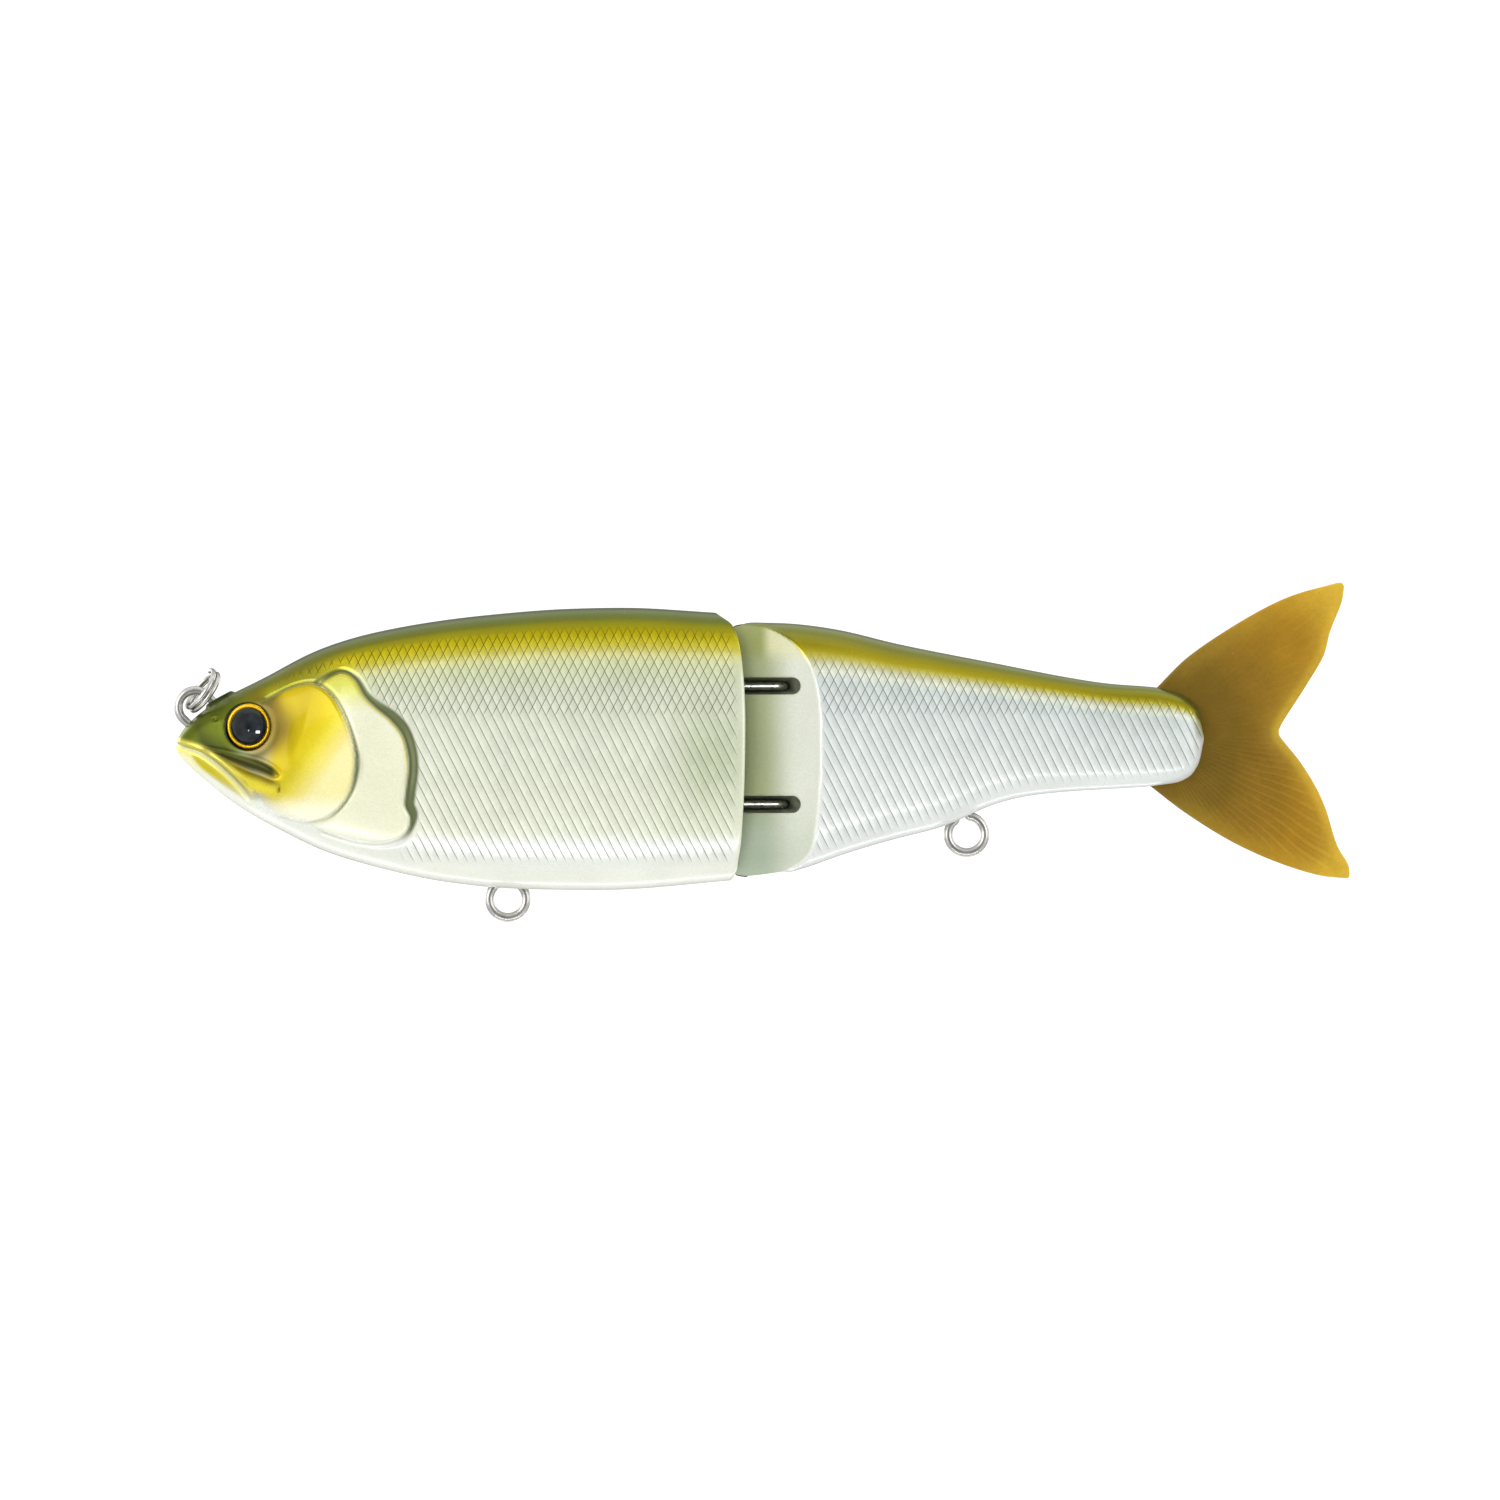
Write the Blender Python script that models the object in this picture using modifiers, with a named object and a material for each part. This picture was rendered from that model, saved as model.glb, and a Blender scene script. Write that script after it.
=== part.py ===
"""Two-section glide swimbait with a soft forked tail.

The bait swims along -X, its back is +Z and its left flank is -Y. The origin is the centre of the
line-tie eye on the nose. Each section is a pair of moulded half shells that meet at the plane Y = 0.
Wire loops anchored in the front section run round a vertical pin in the nose of the rear section.
"""

import math

import bmesh
import bpy
from mathutils import Matrix, Vector

MM = 0.001

# Gaps and walls
SEAM_GAP = 0.2 * MM
SMALL_GAP = 0.1 * MM
FIT_GAP = 0.3 * MM
WALL = 1.8 * MM

# How far the cutters reach to each side of the middle plane
CUT_REACH = 16 * MM

# Side outlines, as (distance along the bait, height)
FRONT_BACK = [
    (-2.75, -5.5), (-2.3, -4.3), (-1.3, -2.9), (0.6, -1.1), (2.8, 0.5), (6.0, 2.25), (10.0, 4.1),
    (18.4, 8.6), (25.9, 11.05), (35.3, 12.9), (43.7, 14.0), (57.9, 15.1), (66.0, 15.25), (79.5, 14.5),
    (90.0, 13.9),
]
FRONT_BELLY = [
    (-2.75, -6.4), (-2.4, -7.4), (-1.3, -8.6), (0.9, -10.6), (7.15, -15.6), (13.4, -19.0),
    (19.2, -21.9), (25.9, -24.05), (38.5, -26.85), (49.3, -27.9), (62.2, -28.1), (82.25, -26.6),
    (90.0, -25.9),
]
FRONT_HALF_WIDTH = [
    (-2.75, 1.0), (-2.0, 2.0), (0.0, 3.5), (4.0, 5.3), (8.4, 6.9), (14.0, 8.5), (20.0, 9.7),
    (30.0, 11.1), (42.0, 11.8), (56.0, 12.0), (70.0, 11.6), (90.0, 10.6),
]
REAR_BACK = [
    (76.0, 12.7), (89.25, 12.8), (98.4, 11.8), (107.0, 9.7), (124.2, 6.3), (132.8, 4.6), (141.4, 3.3),
    (147.0, 3.0), (150.0, 2.4), (152.6, 1.1), (154.15, -0.8), (154.6, -3.6),
]
REAR_BELLY = [
    (76.0, -26.2), (82.6, -26.2), (91.9, -25.1), (98.4, -22.8), (107.0, -20.2), (115.6, -18.0),
    (120.8, -15.4), (126.4, -13.7), (132.8, -12.9), (145.75, -12.1), (150.0, -11.7), (152.4, -10.7),
    (153.9, -8.6), (154.6, -5.4),
]
REAR_HALF_WIDTH = [
    (76.0, 9.4), (95.8, 9.3), (105.0, 8.6), (115.0, 7.5), (125.0, 6.3), (135.0, 5.2), (145.0, 4.4),
    (150.0, 4.1), (153.0, 3.5), (154.2, 2.4), (154.6, 1.2),
]
SECTION_EXPONENT = 2.3
SECTION_STATIONS = 26
SECTION_SEGMENTS = 14
FRONT_SPAN = (-2.75, 86.0)
REAR_SPAN = (77.0, 154.6)

# Rim of the front section, as (distance along the bait, height)
RIM = [
    (78.5, 16.0), (80.4, 14.35), (82.6, 12.6), (83.8, 8.7), (84.4, 1.7), (84.5, -2.7), (84.4, -10.0),
    (84.0, -18.8), (83.4, -24.7), (82.5, -26.6), (81.0, -29.0),
]
RIM_CUT_END_X = 100 * MM

# Knuckle joint between the sections
PIN_X = 88.8 * MM
PIN_RADIUS = 0.9 * MM
PIN_TOP = 10.5 * MM
PIN_BOTTOM = -23.5 * MM
KNUCKLE_RADIUS = 9.6 * MM
KNUCKLE_CENTRE_Z = -6.65 * MM
KNUCKLE_HALF_HEIGHT = 19.5 * MM
KNUCKLE_EXPONENT = 5.0
SHAPER_START_X = 60 * MM
SHAPER_LOW_Z = -40 * MM
SHAPER_TOP_Z = 30 * MM
CUP_CLEARANCE = 0.5 * MM
SLOT_HEIGHTS = {"upper": 3.19 * MM, "lower": -14.9 * MM}
SLOT_WIDTH = 2.64 * MM
SLOT_START_X = 70 * MM
SLOT_END_X = 91.6 * MM
LOOP_RADIUS = 1.85 * MM
LOOP_WIRE = 0.675 * MM
LOOP_ROOT_X = 68.6 * MM
LOOP_CLINCH = 3.0 * MM
LOOP_BEND = 0.5 * MM
LOOP_HOLE_EXTRA = 1.5 * MM

# Hollow cells in the sections, as (start, end); the solid stretches between them are ribs
FRONT_CELLS = [(16.5, 29.5), (31.0, 44.5), (51.5, 60.5), (62.0, 70.0)]
REAR_CELLS = [(97.0, 105.5), (107.0, 114.5), (122.5, 131.0), (132.5, 140.0)]
FRONT_PEGS = [(13.0, -11.0), (48.0, 6.0), (74.5, -6.0)]
REAR_PEGS = [(95.0, -6.0), (118.4, 1.5)]
PEG_RADIUS = 1.0 * MM
PEG_REACH = 2.0 * MM
PEG_ROOT_Y = -2.5 * MM
PEG_SOCKET_Y = -1.0 * MM

# Wire eyes
LINE_TIE_RADIUS = 2.55 * MM
LINE_TIE_WIRE = 0.665 * MM
LINE_TIE_SHANK = (0.72, -0.69)
LINE_TIE_SHANK_LENGTH = 8.0 * MM
HOOK_EYE_RADIUS = 2.82 * MM
HOOK_EYE_WIRE = 0.67 * MM
HOOK_EYES = {"front": (48.0, -29.45, 6.3, 0.0), "rear": (118.4, -19.5, 6.9, 0.26)}
HOOK_EYE_NECK = 1.0 * MM
HOOK_EYE_FOOT = 1.6 * MM
HOOK_EYE_BEND = 0.4 * MM
HOOK_EYE_SHOULDER = 0.9 * MM

# Split ring in the line-tie eye
RING_CENTRE = (1.27 * MM, 2.44 * MM)
RING_UP = (0.62, 0.785)
RING_RADIUS = 3.3 * MM
RING_WIRE = 0.4 * MM
RING_PITCH = 0.86 * MM
RING_TURNS = 1.9
RING_LEAN = math.radians(18)

# Eyes on the head
EYE_X = 8.4 * MM
EYE_Z = -3.0 * MM
EYE_SURFACE_Y = 6.75 * MM
EYE_TURN = math.radians(13)
EYE_SOCKET_RADIUS = 3.8 * MM
EYE_SOCKET_DEPTH = 1.3 * MM
EYE_CUT_REACH = 3.0 * MM
EYE_FOIL_RADIUS = 3.5 * MM
EYE_FOIL_THICKNESS = 0.5 * MM
EYE_DOME_RADIUS = 2.8 * MM
EYE_DOME_HEIGHT = 1.5 * MM
EYE_DOME_RIM = 0.25 * MM

# Ballast, as (start x, end x, height, radius)
FRONT_BALLAST = (30.2, 61.3, -16.6, 4.7)
REAR_BALLAST = (106.0, 131.7, -7.2, 3.4)
HEAD_BALLAST_PLACE = (23.0, -13.0)
HEAD_BALLAST_RADIUS = 3.4 * MM
HEAD_BALLAST_HALF_LENGTH = 8.0 * MM
BALLAST_BEVEL = 0.5 * MM

# Tail
FIN_HALF_THICKNESS = 0.9 * MM
FLEX_X = 156.2 * MM
TAIL_TOP_EDGE = [
    (147.2, 2.6), (151.9, 7.3), (156.9, 10.9), (163.2, 14.7), (168.6, 17.2), (175.2, 19.1),
]
TAIL_TOP_TIP = [(176.1, 19.0), (176.4, 18.4)]
TAIL_TOP_TRAILING = [
    (175.9, 15.9), (174.2, 11.6), (173.2, 7.9), (170.9, 3.9), (168.6, 0.3), (166.7, -2.7),
]
TAIL_NOTCH = [(166.4, -4.1)]
TAIL_LOW_TRAILING = [
    (167.2, -5.4), (169.6, -8.4), (171.9, -12.05), (173.55, -15.7), (175.2, -21.0), (176.9, -24.0),
]
TAIL_LOW_TIP = [(177.3, -25.7), (176.5, -26.35)]
TAIL_LOW_EDGE = [(171.9, -25.7), (165.2, -23.5), (158.6, -20.4), (151.9, -16.2), (146.4, -12.0)]
TANG = [(146.4, -9.0), (142.4, -9.0), (142.4, 0.0), (147.2, 0.0)]
TAIL_PINS = {"upper": (144.9, -2.0), "lower": (144.9, -7.0)}
TAIL_PIN_RADIUS = 0.75 * MM
TAIL_PIN_HALF_LENGTH = 2.7 * MM

# Room for the tail between the rear halves, as (x, z) corners
TAIL_SLOT = ((146.1, -20.0), (160.0, 10.0))
TANG_POCKET = ((142.1, -9.3), (150.0, 0.3))

# Least distance of an outline point, and of the rounded edge's ends, from the cut at the flex line
FLEX_MARGIN = 0.5 * MM


def clear_scene():
    for old in list(bpy.data.objects):
        bpy.data.objects.remove(old)


def new_collection(name):
    collection = bpy.data.collections.new(name)
    bpy.context.scene.collection.children.link(collection)
    return collection


clear_scene()
PARTS = new_collection("glide_swimbait")
CUTTERS = new_collection("cutters")


def material(name, colour, roughness, metallic=0.0):
    made = bpy.data.materials.new(name)
    made.use_nodes = True
    shader = made.node_tree.nodes["Principled BSDF"]
    shader.inputs["Base Color"].default_value = (*colour, 1.0)
    shader.inputs["Roughness"].default_value = roughness
    shader.inputs["Metallic"].default_value = metallic
    made.diffuse_color = (*colour, 1.0)
    return made


def flat_points(points):
    """(x, z) pairs in millimetres as points in the plane Y = 0."""
    return [Vector((x * MM, 0.0, z * MM)) for x, z in points]


def value_at(points, x):
    """Smooth value at x, in millimetres, through points sorted along x, with no overshoot."""
    x = min(max(x, points[0][0]), points[-1][0])
    spans = [(b[1] - a[1]) / (b[0] - a[0]) for a, b in zip(points, points[1:])]
    i = max(k for k in range(len(spans)) if points[k][0] <= x)

    def slope(k):
        if k == 0:
            return spans[0]
        if k == len(spans):
            return spans[-1]
        before, after = spans[k - 1], spans[k]
        return 0.0 if before * after <= 0 else 2 * before * after / (before + after)

    (x0, y0), (x1, y1) = points[i], points[i + 1]
    width = x1 - x0
    t = (x - x0) / width
    rise = y1 - y0
    start = slope(i) * width
    end = slope(i + 1) * width
    return y0 + start * t + (3 * rise - 2 * start - end) * t**2 + (start + end - 2 * rise) * t**3


def spline_points(points, steps):
    """Points of a Catmull-Rom curve through the given points, with steps to each span."""
    ends = [2 * points[0] - points[1], *points, 2 * points[-1] - points[-2]]
    made = []
    for a, b, c, d in zip(ends, ends[1:], ends[2:], ends[3:]):
        for k in range(steps):
            t = k / steps
            bend = (2 * a - 5 * b + 4 * c - d) * t**2 + (3 * b - a - 3 * c + d) * t**3
            made.append(0.5 * (2 * b + (c - a) * t + bend))
    return [*made, points[-1]]


def add_object(name, data, collection, mat=None):
    made = bpy.data.objects.new(name, data)
    collection.objects.link(made)
    if mat is not None:
        data.materials.append(mat)
    if collection is CUTTERS:
        made.hide_render = True
        made.display_type = "WIRE"
    return made


def mesh_object(name, bm, collection, mat=None):
    bmesh.ops.recalc_face_normals(bm, faces=bm.faces)
    mesh = bpy.data.meshes.new(name)
    bm.to_mesh(mesh)
    bm.free()
    mesh.shade_smooth()
    mesh.set_sharp_from_angle(angle=math.radians(35))
    return add_object(name, mesh, collection, mat)


def boolean(target, cutter, operation="DIFFERENCE"):
    step = target.modifiers.new(f"{operation.lower()} {cutter.name}", "BOOLEAN")
    step.object = cutter
    step.operation = operation


def cylinder_between(bm, start, end, radius, segments=20):
    """Adds a capped cylinder from start to end."""
    start, end = Vector(start), Vector(end)
    turn = (end - start).to_track_quat("Z", "Y").to_matrix().to_4x4()
    bmesh.ops.create_cone(
        bm,
        cap_ends=True,
        segments=segments,
        radius1=radius,
        radius2=radius,
        depth=(end - start).length,
        matrix=Matrix.Translation((start + end) / 2) @ turn,
    )


def box_between(bm, low, high):
    low, high = Vector(low), Vector(high)
    place = Matrix.Translation((low + high) / 2) @ Matrix.Diagonal((*(high - low), 1.0))
    bmesh.ops.create_cube(bm, size=1.0, matrix=place)


def turned_object(name, profile, x, collection, mat=None, steps=32):
    """A solid turned about the vertical line at x, from (radius, height) pairs running downwards."""
    mesh = bpy.data.meshes.new(name)
    corners = [(radius, 0.0, height) for radius, height in profile]
    mesh.from_pydata(corners, [(k, k + 1) for k in range(len(corners) - 1)], [])
    made = add_object(name, mesh, collection, mat)
    made.location.x = x
    screw = made.modifiers.new("turn", "SCREW")
    screw.steps = steps
    screw.render_steps = steps
    screw.use_merge_vertices = True
    screw.merge_threshold = 0.00001
    screw.use_smooth_shade = True
    return made


def wire_curve(name, points, radius, collection, mat=None):
    """A round wire of the given radius along points, as a curve object."""
    curve = bpy.data.curves.new(name, "CURVE")
    curve.dimensions = "3D"
    curve.bevel_depth = radius
    curve.bevel_resolution = 2
    curve.use_fill_caps = True
    line = curve.splines.new("POLY")
    line.points.add(len(points) - 1)
    for spot, place in zip(line.points, points):
        spot.co = (*place, 1.0)
    line.use_smooth = True
    return add_object(name, curve, collection, mat)


def as_mesh(curve_object, collection):
    """The curve object remade as a closed mesh object, which a Boolean can use."""
    bpy.context.view_layer.update()
    graph = bpy.context.evaluated_depsgraph_get()
    mesh = bpy.data.meshes.new_from_object(curve_object.evaluated_get(graph))
    bm = bmesh.new()
    bm.from_mesh(mesh)
    bmesh.ops.remove_doubles(bm, verts=bm.verts, dist=0.000001)
    place = curve_object.matrix_world.copy()
    name = curve_object.name
    bpy.data.objects.remove(curve_object)
    bpy.data.meshes.remove(mesh)
    made = mesh_object(name, bm, collection)
    made.matrix_world = place
    return made


def wire_cutter(name, points, radius):
    return as_mesh(wire_curve(name, points, radius + FIT_GAP, CUTTERS), CUTTERS)


def plate_curve(name, outline, half_thickness, collection, mat=None):
    """A flat plate of an outline in the plane Y = 0, as a filled curve object."""
    curve = bpy.data.curves.new(name, "CURVE")
    curve.dimensions = "2D"
    curve.fill_mode = "BOTH"
    curve.extrude = half_thickness
    line = curve.splines.new("POLY")
    line.points.add(len(outline) - 1)
    for spot, place in zip(line.points, outline):
        spot.co = (place.x, place.z, 0.0, 1.0)
    line.use_cyclic_u = True
    made = add_object(name, curve, collection, mat)
    made.rotation_euler.x = math.pi / 2
    return made


def section_ring(x, outlines, inset, start, end, count):
    """Points of one cross section at x, from angle start to end, counted from the back."""
    back, belly, half_width = (value_at(line, x) * MM for line in outlines)
    middle = (back + belly) / 2
    half_height = (back - belly) / 2 - inset
    half_width -= inset
    power = 2 / SECTION_EXPONENT
    points = []
    for k in range(count + 1):
        angle = start + (end - start) * k / count
        across, up = math.sin(angle), math.cos(angle)
        y = half_width * math.copysign(abs(across) ** power, across)
        z = middle + half_height * math.copysign(abs(up) ** power, up)
        points.append(Vector((x * MM, y, z)))
    return points


def loft(bm, rings):
    """Skins closed rings of points and caps both ends."""
    rows = [[bm.verts.new(place) for place in ring] for ring in rings]
    for a, b in zip(rows, rows[1:]):
        for k in range(len(a)):
            after = (k + 1) % len(a)
            bm.faces.new((a[k], a[after], b[after], b[k]))
    bm.faces.new(rows[0])
    bm.faces.new(rows[-1])


def section_half(name, outlines, stations, side, mat):
    """One half of a section as a solid block: side is -1 for the left half and 1 for the right."""
    rings = []
    for x in stations:
        ring = section_ring(x, outlines, SEAM_GAP / 2, 0.0, math.pi, SECTION_SEGMENTS)
        rings.append([Vector((p.x, side * (abs(p.y) + SEAM_GAP / 2), p.z)) for p in ring])
    bm = bmesh.new()
    loft(bm, rings)
    return mesh_object(name, bm, PARTS, mat)


def cell_cutter(name, outlines, cells):
    """The hollow cells of a section, which leave a wall of even thickness and the ribs."""
    bm = bmesh.new()
    for start, end in cells:
        rings = []
        for k in range(4):
            x = start + (end - start) * k / 3
            ring = section_ring(x, outlines, WALL, 0.0, 2 * math.pi, SECTION_SEGMENTS)
            rings.append(ring[:-1])
        loft(bm, rings)
    return mesh_object(name, bm, CUTTERS)


def knuckle_profile(clearance):
    """(radius, height) pairs of the turned knuckle, from its top to its bottom."""
    count = 22
    radius = KNUCKLE_RADIUS + clearance
    half_height = KNUCKLE_HALF_HEIGHT + clearance * 0.8
    power = 2 / KNUCKLE_EXPONENT
    profile = []
    for k in range(count + 1):
        angle = math.pi * k / count
        up = math.cos(angle)
        height = KNUCKLE_CENTRE_Z + half_height * math.copysign(abs(up) ** power, up)
        profile.append((radius * max(math.sin(angle), 0.0) ** power, height))
    profile[0] = (0.0, profile[0][1])
    profile[-1] = (0.0, profile[-1][1])
    return profile


def eased_stations(start, end, count, dense_start):
    """Stations from start to end, in millimetres, closer together at the blunt end."""
    stations = []
    for k in range(count + 1):
        t = k / count
        share = 1 - math.cos(t * math.pi / 2) if dense_start else math.sin(t * math.pi / 2)
        stations.append(start + (end - start) * share)
    return stations


def line_tie_points():
    """The line-tie eye: half a circle about the origin, open towards two parallel shanks."""
    along = Vector((LINE_TIE_SHANK[0], 0.0, LINE_TIE_SHANK[1])).normalized()
    across = Vector((-along.z, 0.0, along.x))
    points = [across * LINE_TIE_RADIUS + along * (LINE_TIE_SHANK_LENGTH * k / 4) for k in (4, 3, 2, 1)]
    for k in range(19):
        angle = math.pi * k / 18
        points.append((across * math.cos(angle) - along * math.sin(angle)) * LINE_TIE_RADIUS)
    points += [along * (LINE_TIE_SHANK_LENGTH * k / 4) - across * LINE_TIE_RADIUS for k in (1, 2, 3, 4)]
    return points


def hook_eye_points(x, z, shank, lean):
    """A hook eye: a ring below the belly whose two shanks rise side by side and turn apart."""
    gap_angle = math.asin(HOOK_EYE_NECK / (HOOK_EYE_RADIUS * 1.35))
    points = [Vector((-HOOK_EYE_NECK - HOOK_EYE_FOOT, 0.0, shank * MM))]
    points.append(Vector((-HOOK_EYE_NECK - HOOK_EYE_BEND, 0.0, shank * MM)))
    points.append(Vector((-HOOK_EYE_NECK, 0.0, shank * MM - HOOK_EYE_BEND)))
    points.append(Vector((-HOOK_EYE_NECK, 0.0, HOOK_EYE_RADIUS + HOOK_EYE_SHOULDER)))
    count = 24
    start = math.pi / 2 + gap_angle * 1.5
    sweep = 2 * math.pi - 3 * gap_angle
    for k in range(count + 1):
        angle = start + sweep * k / count
        points.append(Vector((math.cos(angle), 0.0, math.sin(angle))) * HOOK_EYE_RADIUS)
    points += [Vector((-p.x, 0.0, p.z)) for p in reversed(points[:4])]
    turn = Matrix.Rotation(-lean, 3, "Y")
    return [turn @ p + Vector((x * MM, 0.0, z * MM)) for p in points]


def joint_loop_points(z):
    """A hinge loop: two legs from inside the front section, joined by a bow round the pin."""
    clinch = [Vector((LOOP_ROOT_X, LOOP_RADIUS, z - LOOP_CLINCH))]
    clinch.append(Vector((LOOP_ROOT_X, LOOP_RADIUS, z - LOOP_BEND)))
    clinch.append(Vector((LOOP_ROOT_X + LOOP_BEND, LOOP_RADIUS, z)))
    bow = []
    for k in range(15):
        angle = math.pi / 2 - math.pi * k / 14
        bow.append(Vector((PIN_X + LOOP_RADIUS * math.cos(angle), LOOP_RADIUS * math.sin(angle), z)))
    return [*clinch, *bow, *[Vector((p.x, -p.y, p.z)) for p in reversed(clinch)]]


def split_ring_points():
    """A coil of two touching turns, standing in the line-tie eye with its axis nearly across it."""
    up = Vector((RING_UP[0], 0.0, RING_UP[1])).normalized()
    side = Vector((0.0, 1.0, 0.0))
    axis = up.cross(side)
    lean = Matrix.Rotation(RING_LEAN, 3, up)
    centre = Vector((RING_CENTRE[0], 0.0, RING_CENTRE[1]))
    count = 54
    points = []
    for k in range(count + 1):
        share = k / count
        angle = 2 * math.pi * RING_TURNS * share + math.pi / 3
        flat = (up * math.cos(angle) + side * math.sin(angle)) * RING_RADIUS
        rise = axis * (RING_PITCH * RING_TURNS * (share - 0.5))
        points.append(centre + lean @ (flat + rise))
    return points


def eye_frame(side):
    """The place and turn of an eye: its local +Z points out of the head."""
    out = Vector((-math.sin(EYE_TURN), side * math.cos(EYE_TURN), 0.0))
    turn = out.to_track_quat("Z", "Y").to_matrix().to_4x4()
    return Matrix.Translation(Vector((EYE_X, side * EYE_SURFACE_Y, EYE_Z))) @ turn


def eye_cap(name, side, mat):
    """The domed cap over the eye foil: part of a sphere standing on a short flat rim."""
    sphere_radius = (EYE_DOME_RADIUS**2 + EYE_DOME_HEIGHT**2) / (2 * EYE_DOME_HEIGHT)
    profile = []
    widest = math.asin(EYE_DOME_RADIUS / sphere_radius)
    for k in range(7):
        angle = widest * k / 6
        height = EYE_DOME_RIM + EYE_DOME_HEIGHT - sphere_radius * (1 - math.cos(angle))
        profile.append((sphere_radius * math.sin(angle), height))
    profile += [(EYE_DOME_RADIUS, 0.0), (0.0, 0.0)]
    made = turned_object(name, profile, 0.0, PARTS, mat, steps=24)
    lift = EYE_FOIL_THICKNESS - EYE_SOCKET_DEPTH + 2 * SMALL_GAP
    made.matrix_world = eye_frame(side) @ Matrix.Translation((0.0, 0.0, lift))
    return made


def eye_foil(name, side, mat):
    bm = bmesh.new()
    low = SMALL_GAP - EYE_SOCKET_DEPTH
    cylinder_between(bm, (0, 0, low), (0, 0, low + EYE_FOIL_THICKNESS), EYE_FOIL_RADIUS, 32)
    made = mesh_object(name, bm, PARTS, mat)
    made.matrix_world = eye_frame(side)
    return made


def eye_socket_cutter(name, side):
    bm = bmesh.new()
    cylinder_between(bm, (0, 0, -EYE_SOCKET_DEPTH), (0, 0, EYE_CUT_REACH), EYE_SOCKET_RADIUS, 32)
    made = mesh_object(name, bm, CUTTERS)
    made.matrix_world = eye_frame(side)
    return made


def rod_object(name, start, end, radius, collection, mat=None, segments=24):
    bm = bmesh.new()
    cylinder_between(bm, start, end, radius, segments)
    return mesh_object(name, bm, collection, mat)


def ballast_rod(name, ballast, mat):
    """A ballast rod along X, with its origin at its middle and bevelled ends."""
    start, end, z, radius = ballast
    half = (end - start) / 2 * MM
    made = rod_object(name, (-half, 0, 0), (half, 0, 0), radius * MM, PARTS, mat)
    made.location = ((start + end) / 2 * MM, 0.0, z * MM)
    bevel = made.modifiers.new("eased ends", "BEVEL")
    bevel.width = BALLAST_BEVEL
    bevel.segments = 1
    bevel.limit_method = "ANGLE"
    return made


def ballast_seat(name, ballast):
    start, end, z, radius = ballast
    low = (start * MM - FIT_GAP, 0, z * MM)
    high = (end * MM + FIT_GAP, 0, z * MM)
    return rod_object(name, low, high, radius * MM + FIT_GAP, CUTTERS)


def peg_pair(left, right, name, pegs):
    """Locating pegs: they stand out of the left half and enter sockets in the right half."""
    solid = bmesh.new()
    socket = bmesh.new()
    for x, z in pegs:
        root = (x * MM, PEG_ROOT_Y, z * MM)
        cylinder_between(solid, root, (x * MM, PEG_REACH, z * MM), PEG_RADIUS, 16)
        mouth = (x * MM, PEG_SOCKET_Y, z * MM)
        cylinder_between(socket, mouth, (x * MM, PEG_REACH + FIT_GAP, z * MM), PEG_RADIUS + FIT_GAP, 16)
    boolean(left, mesh_object(name + "_pegs", solid, CUTTERS), "UNION")
    boolean(right, mesh_object(name + "_sockets", socket, CUTTERS))


def hanger_cutters(name, x, z, shank, lean):
    """Room for a hook eye: a ring-shaped channel in the belly, and a T-shaped pocket for the shanks."""
    bpy.ops.mesh.primitive_torus_add(
        major_segments=32,
        minor_segments=12,
        major_radius=HOOK_EYE_RADIUS,
        minor_radius=HOOK_EYE_WIRE + FIT_GAP,
        location=(x * MM, 0.0, z * MM),
        rotation=(math.pi / 2, 0.0, 0.0),
    )
    ring = bpy.context.object
    ring.name = name + "_ring"
    for owner in list(ring.users_collection):
        owner.objects.unlink(ring)
    CUTTERS.objects.link(ring)
    ring.hide_render = True
    ring.display_type = "WIRE"
    half = HOOK_EYE_WIRE + FIT_GAP
    neck = HOOK_EYE_NECK + half
    foot = HOOK_EYE_NECK + HOOK_EYE_FOOT + FIT_GAP
    low, high = shank * MM - half, shank * MM + half
    right = [(neck, HOOK_EYE_RADIUS - half / 2), (neck, low - half / 2), (foot, low), (foot, high)]
    corners = [*right, *[(-across, up) for across, up in reversed(right)]]
    turn = Matrix.Rotation(-lean, 3, "Y")
    place = Vector((x * MM, 0.0, z * MM))
    outline = [turn @ Vector((across, 0.0, up)) + place for across, up in corners]
    pocket = as_mesh(plate_curve(name + "_pocket", outline, half + SMALL_GAP, CUTTERS), CUTTERS)
    return [ring, pocket]


def joint_leg_cutter():
    """Holes through the bulkhead for the four legs of the hinge loops."""
    bm = bmesh.new()
    for z in SLOT_HEIGHTS.values():
        for side in (-1, 1):
            low = (LOOP_ROOT_X - LOOP_HOLE_EXTRA, side * LOOP_RADIUS, z)
            cylinder_between(bm, low, (PIN_X, side * LOOP_RADIUS, z), LOOP_WIRE + FIT_GAP, 16)
    return mesh_object("joint_leg_cutter", bm, CUTTERS)


def slot_cutter():
    """The two slots across the knuckle, each with a rounded blind end."""
    bm = bmesh.new()
    half = SLOT_WIDTH / 2
    for z in SLOT_HEIGHTS.values():
        box_between(bm, (SLOT_START_X, -CUT_REACH, z - half), (SLOT_END_X, CUT_REACH, z + half))
    slots = mesh_object("slot_cutter", bm, CUTTERS)
    ends = bmesh.new()
    for z in SLOT_HEIGHTS.values():
        cylinder_between(ends, (SLOT_END_X, -CUT_REACH, z), (SLOT_END_X, CUT_REACH, z), half, 24)
    boolean(slots, mesh_object("slot_end_cutter", ends, CUTTERS), "UNION")
    return slots


def rim_cutter():
    """Everything behind the rim line of the front section."""
    line = spline_points(flat_points(RIM), 2)
    far = [Vector((RIM_CUT_END_X, 0.0, end.z)) for end in (line[-1], line[0])]
    return as_mesh(plate_curve("rim_cutter", line + far, CUT_REACH, CUTTERS), CUTTERS)


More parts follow.
